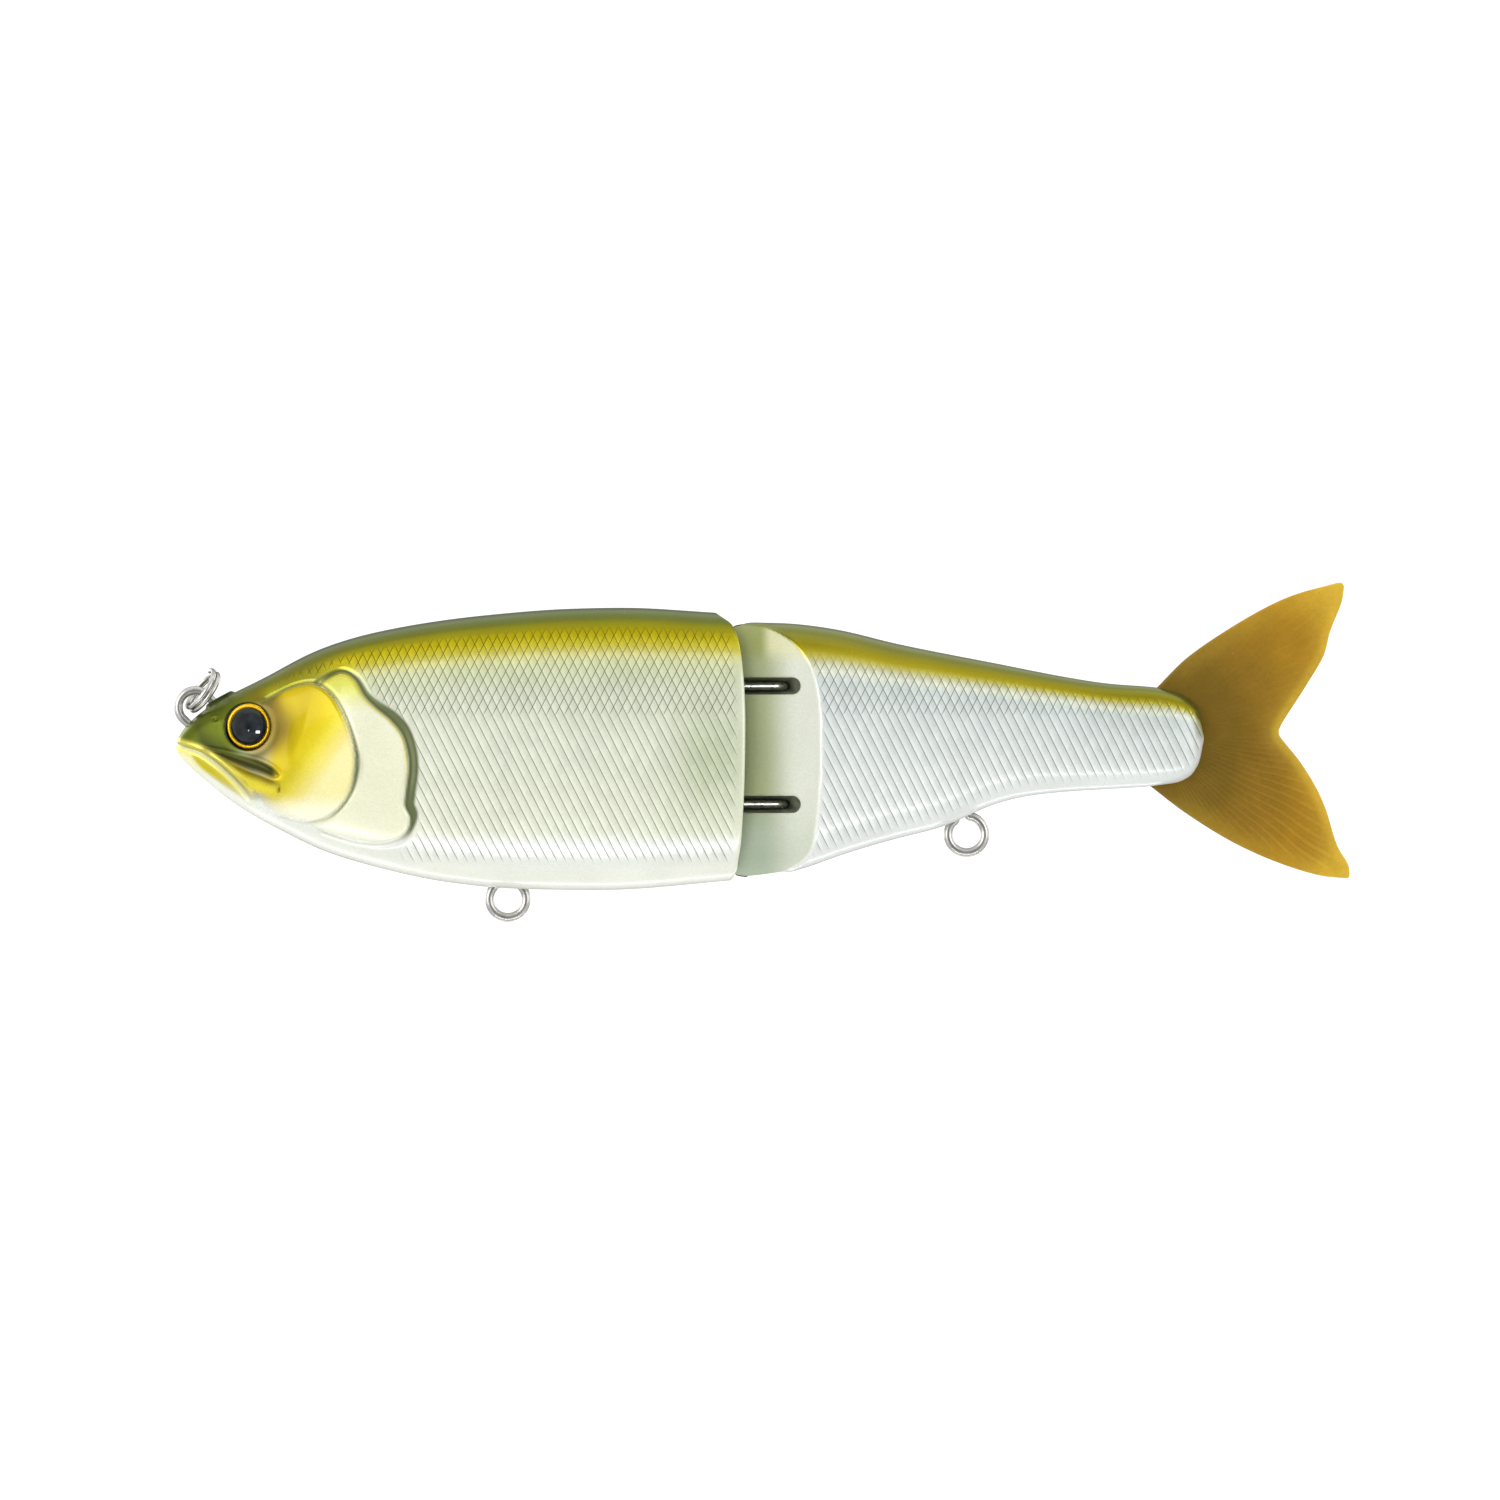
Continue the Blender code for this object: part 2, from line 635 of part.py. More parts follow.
def knuckle_shaper():
    """The space round the turned knuckle, ahead of the pin."""
    bm = bmesh.new()
    low = (SHAPER_START_X, -CUT_REACH, SHAPER_LOW_Z)
    box_between(bm, low, (PIN_X, CUT_REACH, SHAPER_TOP_Z))
    block = mesh_object("knuckle_shaper", bm, CUTTERS)
    core = turned_object("knuckle_core", knuckle_profile(0.0), PIN_X, CUTTERS)
    boolean(block, core)
    return block


def tail_outline():
    """The tail's outline from the root of its upper edge round to the root of its lower edge."""
    runs = [
        TAIL_TOP_EDGE,
        TAIL_TOP_TIP,
        TAIL_TOP_TRAILING,
        TAIL_NOTCH,
        TAIL_LOW_TRAILING,
        TAIL_LOW_TIP,
        TAIL_LOW_EDGE,
    ]
    outline = []
    for run in runs:
        points = flat_points(run)
        outline += spline_points(points, 2) if len(points) > 2 else points
    return outline


def tail_slot_cutter():
    """The slot between the halves that takes the root of the tail, with a pocket for its tang."""
    half = FIN_HALF_THICKNESS + FIT_GAP
    boxes = []
    for name, (low, high) in {"tail_slot_cutter": TAIL_SLOT, "tang_pocket_cutter": TANG_POCKET}.items():
        bm = bmesh.new()
        box_between(bm, (low[0] * MM, -half, low[1] * MM), (high[0] * MM, half, high[1] * MM))
        boxes.append(mesh_object(name, bm, CUTTERS))
    slot, pocket = boxes
    boolean(slot, pocket, "UNION")
    return slot


def tail_pin_cutter(name, extra, collection):
    bm = bmesh.new()
    reach = TAIL_PIN_HALF_LENGTH + extra
    for x, z in TAIL_PINS.values():
        low = (x * MM, -reach, z * MM)
        cylinder_between(bm, low, (x * MM, reach, z * MM), TAIL_PIN_RADIUS + extra, 16)
    return mesh_object(name, bm, collection)


def build_front_section(plastic, wire):
    outlines = (FRONT_BACK, FRONT_BELLY, FRONT_HALF_WIDTH)
    stations = eased_stations(*FRONT_SPAN, SECTION_STATIONS, True)
    sides = {"left": -1, "right": 1}
    halves = {
        word: section_half(f"front_shell_{word}", outlines, stations, side, plastic)
        for word, side in sides.items()
    }
    x, z, shank, lean = HOOK_EYES["front"]
    hanger = hook_eye_points(x, z, shank, lean)
    tie = line_tie_points()
    ballast_x, ballast_z = (size * MM for size in HEAD_BALLAST_PLACE)
    seat_reach = HEAD_BALLAST_HALF_LENGTH + FIT_GAP
    seat_ends = [(ballast_x, side * seat_reach, ballast_z) for side in sides.values()]
    shared = [
        cell_cutter("front_cells", outlines, FRONT_CELLS),
        rim_cutter(),
        turned_object("cup_cutter", knuckle_profile(CUP_CLEARANCE), PIN_X, CUTTERS),
        joint_leg_cutter(),
        wire_cutter("line_tie_channel", tie, LINE_TIE_WIRE),
        *hanger_cutters("front_hanger", x, z, shank, lean),
        ballast_seat("front_ballast_seat", FRONT_BALLAST),
        rod_object("head_ballast_seat", *seat_ends, HEAD_BALLAST_RADIUS + FIT_GAP, CUTTERS),
    ]
    for word, half in halves.items():
        for cutter in shared:
            boolean(half, cutter)
        boolean(half, eye_socket_cutter(f"{word}_eye_socket", sides[word]))
    peg_pair(halves["left"], halves["right"], "front", FRONT_PEGS)
    wire_curve("line_tie_eye", tie, LINE_TIE_WIRE, PARTS, wire)
    wire_curve("front_hook_hanger", hanger, HOOK_EYE_WIRE, PARTS, wire)
    for word, height in SLOT_HEIGHTS.items():
        wire_curve(f"{word}_joint_loop", joint_loop_points(height), LOOP_WIRE, PARTS, wire)


def build_head_fittings(steel, foil, glass):
    ballast_rod("front_ballast", FRONT_BALLAST, steel)
    x, z = HEAD_BALLAST_PLACE
    ends = [(0, side * HEAD_BALLAST_HALF_LENGTH, 0) for side in (-1, 1)]
    cross_rod = rod_object("head_ballast", *ends, HEAD_BALLAST_RADIUS, PARTS, steel)
    cross_rod.location = (x * MM, 0.0, z * MM)
    for word, side in {"left": -1, "right": 1}.items():
        eye_foil(f"{word}_eye_foil", side, foil)
        eye_cap(f"{word}_eye_dome", side, glass)


def build_rear_section(plastic, wire, steel, swing):
    outlines = (REAR_BACK, REAR_BELLY, REAR_HALF_WIDTH)
    stations = eased_stations(*REAR_SPAN, SECTION_STATIONS, False)
    halves = {
        word: section_half(f"rear_shell_{word}", outlines, stations, side, plastic)
        for word, side in {"left": -1, "right": 1}.items()
    }
    x, z, shank, lean = HOOK_EYES["rear"]
    hanger = hook_eye_points(x, z, shank, lean)
    pin_low = (PIN_X, 0, PIN_BOTTOM - FIT_GAP)
    pin_high = (PIN_X, 0, PIN_TOP + FIT_GAP)
    shared = [
        knuckle_shaper(),
        slot_cutter(),
        rod_object("pin_bore", pin_low, pin_high, PIN_RADIUS + FIT_GAP, CUTTERS),
        cell_cutter("rear_cells", outlines, REAR_CELLS),
        *hanger_cutters("rear_hanger", x, z, shank, lean),
        ballast_seat("rear_ballast_seat", REAR_BALLAST),
        tail_slot_cutter(),
        tail_pin_cutter("tail_pin_bores", FIT_GAP, CUTTERS),
    ]
    for half in halves.values():
        for cutter in shared:
            boolean(half, cutter)
    peg_pair(halves["left"], halves["right"], "rear", REAR_PEGS)
    pin = rod_object("hinge_pin", (0, 0, PIN_BOTTOM), (0, 0, PIN_TOP), PIN_RADIUS, PARTS, steel)
    hook = wire_curve("rear_hook_hanger", hanger, HOOK_EYE_WIRE, PARTS, wire)
    ballast = ballast_rod("rear_ballast", REAR_BALLAST, steel)
    for half in halves.values():
        half.location.x = -PIN_X
    for piece in (hook, ballast):
        piece.location.x -= PIN_X
    for piece in (*halves.values(), pin, hook, ballast):
        piece.parent = swing


def build_tail(soft, steel, swing, flex):
    outline = tail_outline()
    root_x = FLEX_X - FIN_HALF_THICKNESS - FIT_GAP
    top = [p for p in outline[: len(outline) // 2] if p.x < root_x - FLEX_MARGIN]
    low = [p for p in outline[len(outline) // 2 :] if p.x < root_x - FLEX_MARGIN]
    top_end = Vector((root_x, 0.0, value_at(TAIL_TOP_EDGE, root_x / MM) * MM))
    low_end = Vector((root_x, 0.0, value_at(TAIL_LOW_EDGE[::-1], root_x / MM) * MM))
    root_outline = [*top, top_end, low_end, *low, *flat_points(TANG)]
    root = as_mesh(plate_curve("tail_root", root_outline, FIN_HALF_THICKNESS, PARTS), PARTS)
    root.data.materials.append(soft)
    boolean(root, tail_pin_cutter("tang_bores", FIT_GAP, CUTTERS))
    fin_top = Vector((FLEX_X, 0.0, value_at(TAIL_TOP_EDGE, FLEX_X / MM) * MM))
    fin_low = Vector((FLEX_X, 0.0, value_at(TAIL_LOW_EDGE[::-1], FLEX_X / MM) * MM))
    fin_outline = [fin_top, *[p for p in outline if p.x > FLEX_X + FLEX_MARGIN], fin_low]
    fin = as_mesh(plate_curve("tail_fin", fin_outline, FIN_HALF_THICKNESS, PARTS), PARTS)
    fin.data.materials.append(soft)
    low_edge = (FLEX_X, 0, fin_low.z + FLEX_MARGIN)
    high_edge = (FLEX_X, 0, fin_top.z - FLEX_MARGIN)
    boolean(fin, rod_object("fin_edge", low_edge, high_edge, FIN_HALF_THICKNESS, CUTTERS), "UNION")
    root.location.x = -PIN_X
    root.parent = swing
    fin.location.x = -FLEX_X
    fin.parent = flex
    for word, (x, z) in TAIL_PINS.items():
        ends = [(0, side * TAIL_PIN_HALF_LENGTH, 0) for side in (-1, 1)]
        pin = rod_object(f"tail_pin_{word}", *ends, TAIL_PIN_RADIUS, PARTS, steel, 16)
        pin.location = (x * MM - PIN_X, 0.0, z * MM)
        pin.parent = swing


def joint_empty(name, x, parent=None):
    made = bpy.data.objects.new(name, None)
    PARTS.objects.link(made)
    made.empty_display_size = 0.01
    made.parent = parent
    made.location.x = x - (parent.location.x if parent else 0.0)
    return made


def main():
    front_plastic = material("front_painted_shell", (0.62, 0.63, 0.42), 0.25)
    rear_plastic = material("rear_painted_shell", (0.68, 0.70, 0.62), 0.3)
    stainless = material("stainless_wire", (0.62, 0.62, 0.60), 0.25, 1.0)
    ballast = material("ballast_steel", (0.35, 0.35, 0.36), 0.4, 1.0)
    foil = material("gold_eye_foil", (0.85, 0.6, 0.1), 0.3, 1.0)
    dome = material("black_eye_dome", (0.01, 0.01, 0.012), 0.05)
    soft = material("amber_soft_tail", (0.48, 0.29, 0.06), 0.45)
    swing = joint_empty("body_swing_axis", PIN_X)
    flex = joint_empty("tail_flex_axis", FLEX_X, swing)
    build_front_section(front_plastic, stainless)
    build_head_fittings(ballast, foil, dome)
    build_rear_section(rear_plastic, stainless, ballast, swing)
    build_tail(soft, ballast, swing, flex)
    wire_curve("split_ring", split_ring_points(), RING_WIRE, PARTS, stainless)
    bpy.context.view_layer.update()


main()
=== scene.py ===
"""Looks of the two-section glide swimbait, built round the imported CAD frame.

Sizes in this script are in millimetres, in the frame of the CAD part: X runs from the nose to the
tail, Z is up, and the left flank is at -Y. Meshes are handed to Blender in metres.
"""

import math

import bpy
import numpy as np
from mathutils import Matrix, Vector


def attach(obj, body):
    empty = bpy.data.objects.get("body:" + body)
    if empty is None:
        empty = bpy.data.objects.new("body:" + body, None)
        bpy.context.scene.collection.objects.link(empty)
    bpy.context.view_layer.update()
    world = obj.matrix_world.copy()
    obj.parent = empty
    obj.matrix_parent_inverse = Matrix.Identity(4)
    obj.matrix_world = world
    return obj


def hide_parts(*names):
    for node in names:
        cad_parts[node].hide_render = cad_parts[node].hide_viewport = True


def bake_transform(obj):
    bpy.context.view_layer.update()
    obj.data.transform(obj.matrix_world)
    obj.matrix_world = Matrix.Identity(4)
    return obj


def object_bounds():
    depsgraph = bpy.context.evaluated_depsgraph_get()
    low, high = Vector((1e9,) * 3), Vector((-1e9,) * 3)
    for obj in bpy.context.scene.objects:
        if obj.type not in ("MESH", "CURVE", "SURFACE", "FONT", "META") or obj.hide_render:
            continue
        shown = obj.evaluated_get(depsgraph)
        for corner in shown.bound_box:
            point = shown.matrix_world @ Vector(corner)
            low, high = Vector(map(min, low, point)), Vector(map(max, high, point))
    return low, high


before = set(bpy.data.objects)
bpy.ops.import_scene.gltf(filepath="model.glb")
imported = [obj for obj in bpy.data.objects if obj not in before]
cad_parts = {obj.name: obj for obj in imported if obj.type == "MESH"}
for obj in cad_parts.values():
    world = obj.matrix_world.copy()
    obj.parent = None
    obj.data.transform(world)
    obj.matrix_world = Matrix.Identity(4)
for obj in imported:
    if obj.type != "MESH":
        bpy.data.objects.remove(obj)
CAD_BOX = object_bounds()

MM = 0.001
SHARP_ANGLE = math.radians(35)
CUT_SHARP_ANGLE = math.radians(38)
SIDES = {"left": -1, "right": 1}

# Side outlines of the two sections, as (distance along the bait, height)
FRONT_BACK = [
    (-2.75, -5.5), (-2.3, -4.3), (-1.3, -2.9), (0.6, -1.1), (2.8, 0.5), (6.0, 2.25), (10.0, 4.1),
    (18.4, 8.6), (25.9, 11.05), (35.3, 12.9), (43.7, 14.0), (57.9, 15.1), (66.0, 15.25), (79.5, 14.5),
    (90.0, 13.9),
]
FRONT_BELLY = [
    (-2.75, -6.4), (-2.4, -7.4), (-1.3, -8.6), (0.9, -10.6), (7.15, -15.6), (13.4, -19.0),
    (19.2, -21.9), (25.9, -24.05), (38.5, -26.85), (49.3, -27.9), (62.2, -28.1), (82.25, -26.6),
    (90.0, -25.9),
]
FRONT_HALF_WIDTH = [
    (-2.75, 1.0), (-2.0, 2.0), (0.0, 3.5), (4.0, 5.3), (8.4, 6.9), (14.0, 8.5), (20.0, 9.7),
    (30.0, 11.1), (42.0, 11.8), (56.0, 11.95), (70.0, 11.6), (90.0, 10.6),
]
REAR_BACK = [
    (76.0, 12.7), (89.25, 12.8), (98.4, 11.8), (107.0, 9.7), (124.2, 6.3), (132.8, 4.6), (141.4, 3.3),
    (147.0, 3.0), (150.0, 2.4), (152.6, 1.1), (154.15, -0.8), (154.6, -3.6),
]
REAR_BELLY = [
    (76.0, -26.2), (82.6, -26.2), (91.9, -25.1), (98.4, -22.8), (107.0, -20.2), (115.6, -18.0),
    (120.8, -15.4), (126.4, -13.7), (132.8, -12.9), (145.75, -12.1), (150.0, -11.7), (152.4, -10.7),
    (153.9, -8.6), (154.6, -5.4),
]
REAR_HALF_WIDTH = [
    (76.0, 9.4), (95.8, 9.3), (105.0, 8.6), (115.0, 7.5), (125.0, 6.3), (135.0, 5.2), (145.0, 4.4),
    (150.0, 4.1), (153.0, 3.5), (154.2, 2.4), (154.6, 1.2),
]
SECTION_EXPONENT = 2.3
TYPICAL_HALF_SECTION = (11.5, 19.0)
NOSE_X = -2.75
NOSE_END_X = 1.5
RIM_MEAN_X = 84.0
REAR_CAP_X = 149.0
REAR_CAP_LENGTH = 5.6
SEAM = 0.03
GRID_STEP = 0.225
FAIRING = 7.0
FAIR_STEP = 0.25
FAIR_PASSES = 140
GIRTH_POINTS = {"front": 205, "rear": 165}
GROOVE_HALF_WIDTH = 0.27
GROOVE_DEPTH = 0.05

# Rim of the front section and edge of the rear section's paint, as (distance along the bait, height)
RIM = [
    (78.5, 16.0), (80.4, 14.35), (82.6, 12.6), (83.8, 8.7), (84.4, 1.7), (84.5, -2.7), (84.4, -10.0),
    (84.0, -18.8), (83.4, -24.7), (82.5, -26.6), (81.0, -29.0),
]
PAINT_EDGE = [
    (80.0, 13.2), (84.5, 12.6), (87.8, 12.0), (90.7, 10.5), (93.05, 8.2), (94.8, 4.7), (95.7, 0.3),
    (95.9, -5.6), (95.8, -11.5), (95.1, -18.8), (94.2, -22.3), (91.6, -24.6), (88.0, -26.0), (80.0, -27.0),
]
PAINT_STEP = 0.28

# Knuckle joint
PIN_X = 88.8
KNUCKLE_RADIUS = 9.6
KNUCKLE_CENTRE_Z = -6.65
KNUCKLE_HALF_HEIGHT = 19.5
KNUCKLE_EXPONENT = 5.0
CUP_CLEARANCE = 0.5
CUP_EXPONENT = 4.0
SLOT_HEIGHTS = {"upper": 3.19, "lower": -14.9}
SLOT_WIDTH = 2.64
SLOT_END_X = 91.6
THROAT_WIDTH = 1.3
THROAT_END_X = 90.6
THROAT_REACH = 1.1
LOOP_RADIUS = 1.85
LOOP_WIRE = 0.675
LOOP_ROOT_X = 68.6
LOOP_CLINCH = 3.0

# Wire eyes and the split ring
LINE_TIE_RADIUS = 2.55
LINE_TIE_WIRE = 0.665
LINE_TIE_SHANK = (0.72, -0.69)
LINE_TIE_SHANK_LENGTH = 8.0
HOOK_EYE_RADIUS = 2.82
HOOK_EYE_WIRE = 0.67
HOOK_EYES = {"front": (48.0, -29.45, 6.3, 0.0), "rear": (118.4, -19.5, 6.9, 0.26)}
HOOK_EYE_NECK = 1.0
HOOK_EYE_FOOT = 1.6
RING_CENTRE = (1.27, 2.44)
RING_UP = (0.62, 0.785)
RING_RADIUS = 3.3
RING_WIRE = 0.4
RING_PITCH = 0.86
RING_TURNS = 1.9
RING_LEAN = math.radians(18)

# Rings that round off the end of a wire, outermost first: (how far out, size), in wire radii
WIRE_END = [(0.49, 0.2), (0.4, 0.6), (0.25, 0.87)]

# Eyes on the head
EYE_X = 8.4
EYE_Z = -3.0
EYE_SURFACE_Y = 6.75
EYE_TURN = math.radians(13)
EYE_SOCKET_RADIUS = 3.66
EYE_SOCKET_DEPTH = 1.3
EYE_FOIL_RADIUS = 3.5
EYE_FOIL_THICKNESS = 0.5
EYE_DOME_RADIUS = 2.78
EYE_DOME_HEIGHT = 1.5

# Gill plates and mouth, as (distance along the bait, height)
CHEEK_EDGE = [
    (11.2, 1.0), (12.6, 1.75), (15.3, 3.05), (18.1, 3.55), (20.3, 2.7), (22.2, 0.7), (23.9, -2.8),
    (25.0, -6.7), (25.1, -9.6), (24.2, -13.0), (22.1, -15.8), (19.6, -17.3), (16.6, -17.5), (13.6, -16.7),
]
CHEEK_INNER = [(11.0, -15.2), (9.5, -12.0), (9.0, -6.0), (9.8, -1.0)]
OPERCLE_EDGE = [
    (19.0, 3.0), (20.6, 4.3), (22.9, 5.25), (24.9, 4.1), (26.4, 1.7), (28.0, 0.0), (30.4, -2.0),
    (32.1, -4.1), (33.0, -6.9), (33.2, -9.6), (32.8, -12.7), (32.6, -15.1), (33.4, -17.1), (32.8, -19.2),
    (31.0, -20.5), (28.0, -20.9), (24.0, -20.3), (20.0, -19.0),
]
OPERCLE_INNER = [(17.0, -17.0), (15.0, -8.0), (16.0, 0.0)]
MOUTH_LINE = [
    (-2.7, -5.75), (-1.0, -6.35), (0.8, -6.95), (3.0, -8.3), (5.4, -10.3), (7.5, -12.4), (8.8, -14.4),
]
MAXILLA = [
    (-2.6, -5.5), (0.6, -6.0), (3.0, -6.5), (6.0, -7.1), (9.5, -7.9), (12.0, -9.0), (13.2, -10.2),
    (12.5, -10.7), (10.5, -10.0), (8.0, -9.1), (5.0, -7.7), (2.5, -6.9), (0.0, -6.4),
]
LOWER_LIP = [
    (-0.6, -7.0), (1.0, -7.5), (2.6, -8.6), (5.0, -10.7), (7.0, -12.9), (7.9, -14.2), (6.4, -13.3),
    (4.2, -11.9), (1.6, -9.9), (0.0, -8.2),
]

# Lattice of the scale lines: width and height of one diamond
SCALE_WIDTH = 1.37
SCALE_HEIGHT = 2.72
# A line's distance from the next, square to it, as a share of the diamond's width
LINE_SLANT = 0.893
# Where a drawn line starts to fade and where it ends, in counts of the lattice from its middle
LINE_EDGE = (0.026, 0.068)

# Tail outline, as (distance along the bait, height)
TAIL_TOP_EDGE = [
    (146.6, 2.0), (147.8, 3.2), (151.9, 7.3), (156.9, 10.9), (163.2, 14.7), (168.6, 17.2), (175.2, 19.05),
]
TAIL_TOP_TIP = [(175.2, 19.05), (176.0, 19.05), (176.35, 18.5)]
TAIL_TRAILING = [
    (176.35, 18.5), (175.9, 15.9), (174.2, 11.6), (173.2, 7.9), (170.9, 3.9), (168.6, 0.3), (166.7, -2.7),
    (166.35, -4.1), (167.2, -5.4), (169.6, -8.4), (171.9, -12.05), (173.55, -15.7), (175.2, -21.0),
    (176.9, -24.0), (177.2, -25.6),
]
TAIL_LOW_TIP = [(177.2, -25.6), (177.1, -26.15), (176.5, -26.3)]
TAIL_LOW_EDGE = [
    (176.5, -26.3), (171.9, -25.7), (165.2, -23.5), (158.6, -20.4), (151.9, -16.2), (146.4, -12.0),
]
TAIL_HALF_THICKNESS = 0.9
TAIL_ROUNDING = 0.55
TAIL_ROOT_SHARE = 0.2
TAIL_FAN = (147.0, -4.6)
TAIL_RAYS = 19.0
TAIL_ROWS = 190
TAIL_COLUMNS = 230


def smooth_line(points, ease=0.0):
    """A smooth function through points sorted along x. Beyond ease from either end it is also faired."""
    xs, ys = np.array(points, float).T
    steps = np.diff(xs)
    spans = np.diff(ys) / steps
    slopes = np.zeros(len(xs))
    slopes[0], slopes[-1] = spans[0], spans[-1]
    before, after = spans[:-1], spans[1:]
    rising = before * after > 0
    slopes[1:-1][rising] = 2 * (before * after)[rising] / (before + after)[rising]

    def exact(x):
        x = np.clip(x, xs[0], xs[-1])
        i = np.clip(np.searchsorted(xs, x, side="right") - 1, 0, len(spans) - 1)
        t = (x - xs[i]) / steps[i]
        rise = ys[i + 1] - ys[i]
        start = slopes[i] * steps[i]
        end = slopes[i + 1] * steps[i]
        return ys[i] + start * t + (3 * rise - 2 * start - end) * t**2 + (start + end - 2 * rise) * t**3

    if not ease:
        return exact
    spots = np.linspace(xs[0], xs[-1], int((xs[-1] - xs[0]) / FAIR_STEP) + 2)
    raw = exact(spots)
    faired = raw.copy()
    for _ in range(FAIR_PASSES):
        faired[1:-1] = (faired[:-2] + 2 * faired[1:-1] + faired[2:]) / 4
    share = np.clip(np.minimum(spots - xs[0], xs[-1] - spots) / ease - 0.4, 0, 1)
    share = share**2 * (3 - 2 * share)
    settled = raw + (faired - raw) * share
    return lambda x: np.interp(x, spots, settled)


def curve_points(points, steps=8):
    """Points of a Catmull-Rom curve through the given points, with steps to each span."""
    points = np.array(points, float)
    ends = np.vstack([2 * points[0] - points[1], points, 2 * points[-1] - points[-2]])
    made = []
    for a, b, c, d in zip(ends, ends[1:], ends[2:], ends[3:]):
        for k in range(steps):
            t = k / steps
            bend = (2 * a - 5 * b + 4 * c - d) * t**2 + (3 * b - a - 3 * c + d) * t**3
            made.append(0.5 * (2 * b + (c - a) * t + bend))
    return np.vstack([*made, points[-1]])


def distance_to(x, z, line):
    """Distance from each point to an open line of points."""
    flat = np.stack([np.ravel(x), np.ravel(z)], axis=1)
    nearest = np.full(len(flat), 1e9)
    for a, b in zip(line, line[1:]):
        along = b - a
        share = np.clip((flat - a) @ along / max(along @ along, 1e-12), 0, 1)
        away = flat - a - share[:, None] * along
        nearest = np.minimum(nearest, np.hypot(away[:, 0], away[:, 1]))
    return nearest.reshape(np.shape(x))


def inside(x, z, outline):
    """True where a point is inside a closed outline."""
    crossed = np.zeros(np.shape(x), bool)
    for (ax, az), (bx, bz) in zip(outline, np.roll(outline, -1, axis=0)):
        if az == bz:
            continue
        spans = (az > z) != (bz > z)
        crossed ^= spans & (x < (bx - ax) * (z - az) / (bz - az) + ax)
    return crossed


def ease(value, low, high):
    """0 at low, 1 at high, with a smooth change between; low may be above high."""
    t = np.clip((value - low) / (high - low), 0, 1)
    return t * t * (3 - 2 * t)


def hump(value, centre, width):
    return np.exp(-(((value - centre) / width) ** 2))


def soft_min(a, b, reach):
    """The lower of a and b, rounded where they cross."""
    near = np.clip(0.5 + 0.5 * (b - a) / reach, 0, 1)
    return b + (a - b) * near - reach * near * (1 - near)


def shade(code):
    """A colour from its web code, as linear light."""
    parts = np.array([int(code[k : k + 2], 16) for k in (0, 2, 4)]) / 255
    return np.where(parts < 0.04045, parts / 12.92, ((parts + 0.055) / 1.055) ** 2.4)


def rgba(code):
    return (*shade(code), 1.0)


def mixed(under, over, share):
    """Two colours, or web codes of colours, mixed by a share at each vertex."""
    under, over = (shade(colour) if isinstance(colour, str) else colour for colour in (under, over))
    return under + (over - under) * share[..., None]


def toward(value, goal, share):
    return value + (goal - value) * share


# ==== Meshes ====


def new_object(name, data):
    made = bpy.data.objects.new(name, data)
    bpy.context.scene.collection.objects.link(made)
    return made


def new_piece(name, verts, faces, body=None, mat=None):
    """A mesh piece from vertices in millimetres, which rides on a body."""
    mesh = bpy.data.meshes.new(name)
    mesh.from_pydata((np.asarray(verts, float) * MM).tolist(), [], faces)
    mesh.validate()
    mesh.shade_smooth()
    mesh.set_sharp_from_angle(angle=SHARP_ANGLE)
    piece = new_object(name, mesh)
    if mat is not None:
        mesh.materials.append(mat)
    if body is not None:
        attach(piece, body)
    return piece


def grid_faces(rows, columns, closed=False, flip=False):
    """Quads of a grid of rows by columns of vertices; closed joins the last column to the first."""
    r, c = np.meshgrid(np.arange(rows - 1), np.arange(columns - (0 if closed else 1)), indexing="ij")
    after = (c + 1) % columns
    row, next_row = r * columns, (r + 1) * columns
    quads = np.stack([row + c, row + after, next_row + after, next_row + c], -1).reshape(-1, 4)
    return (quads[:, ::-1] if flip else quads).tolist()


def tube_faces(rows, columns, flip=False):
    """Quads round a tube of rows of vertices, and a face over each of its ends."""
    first = list(range(columns))
    last = [(rows - 1) * columns + k for k in first]
    ends = [first, last[::-1]] if flip else [first[::-1], last]
    return grid_faces(rows, columns, closed=True, flip=flip) + ends


def swept_wire(name, path, radius, body, mat, sides=28):
    """A round wire along a path of points, with rounded ends."""
    tangents = np.gradient(path, axis=0)
    tangents /= np.linalg.norm(tangents, axis=1)[:, None]
    across = np.cross(tangents[0], (0.31, 0.87, 0.39))
    across /= np.linalg.norm(across)
    frames = []
    for tangent in tangents:
        across = across - tangent * (across @ tangent)
        across /= np.linalg.norm(across)
        frames.append((across, np.cross(tangent, across)))
    rings = [(path[0] - tangents[0] * radius * out, radius * share, frames[0]) for out, share in WIRE_END]
    rings += [(place, radius, pair) for place, pair in zip(path, frames)]
    for out, share in reversed(WIRE_END):
        rings.append((path[-1] + tangents[-1] * radius * out, radius * share, frames[-1]))
    angles = 2 * math.pi * np.arange(sides) / sides
    verts = []
    for place, size, (u, v) in rings:
        verts.append(place + size * (np.cos(angles)[:, None] * u + np.sin(angles)[:, None] * v))
    return new_piece(name, np.vstack(verts), tube_faces(len(rings), sides), body, mat)


def turned_mesh(profile, segments, place=Matrix.Identity(4)):
    """Vertices and faces of a solid turned about local Z, from (radius, height) pairs top to bottom."""
    angles = 2 * math.pi * np.arange(segments) / segments
    verts = []
    for radius, height in profile:
        ring = [radius * np.cos(angles), radius * np.sin(angles), np.full(segments, height)]
        verts.append(np.stack(ring, 1))
    turn = np.array(place.to_3x3())
    verts = np.vstack(verts) @ turn.T + np.array(place.translation)
    return verts, tube_faces(len(profile), segments, flip=True)


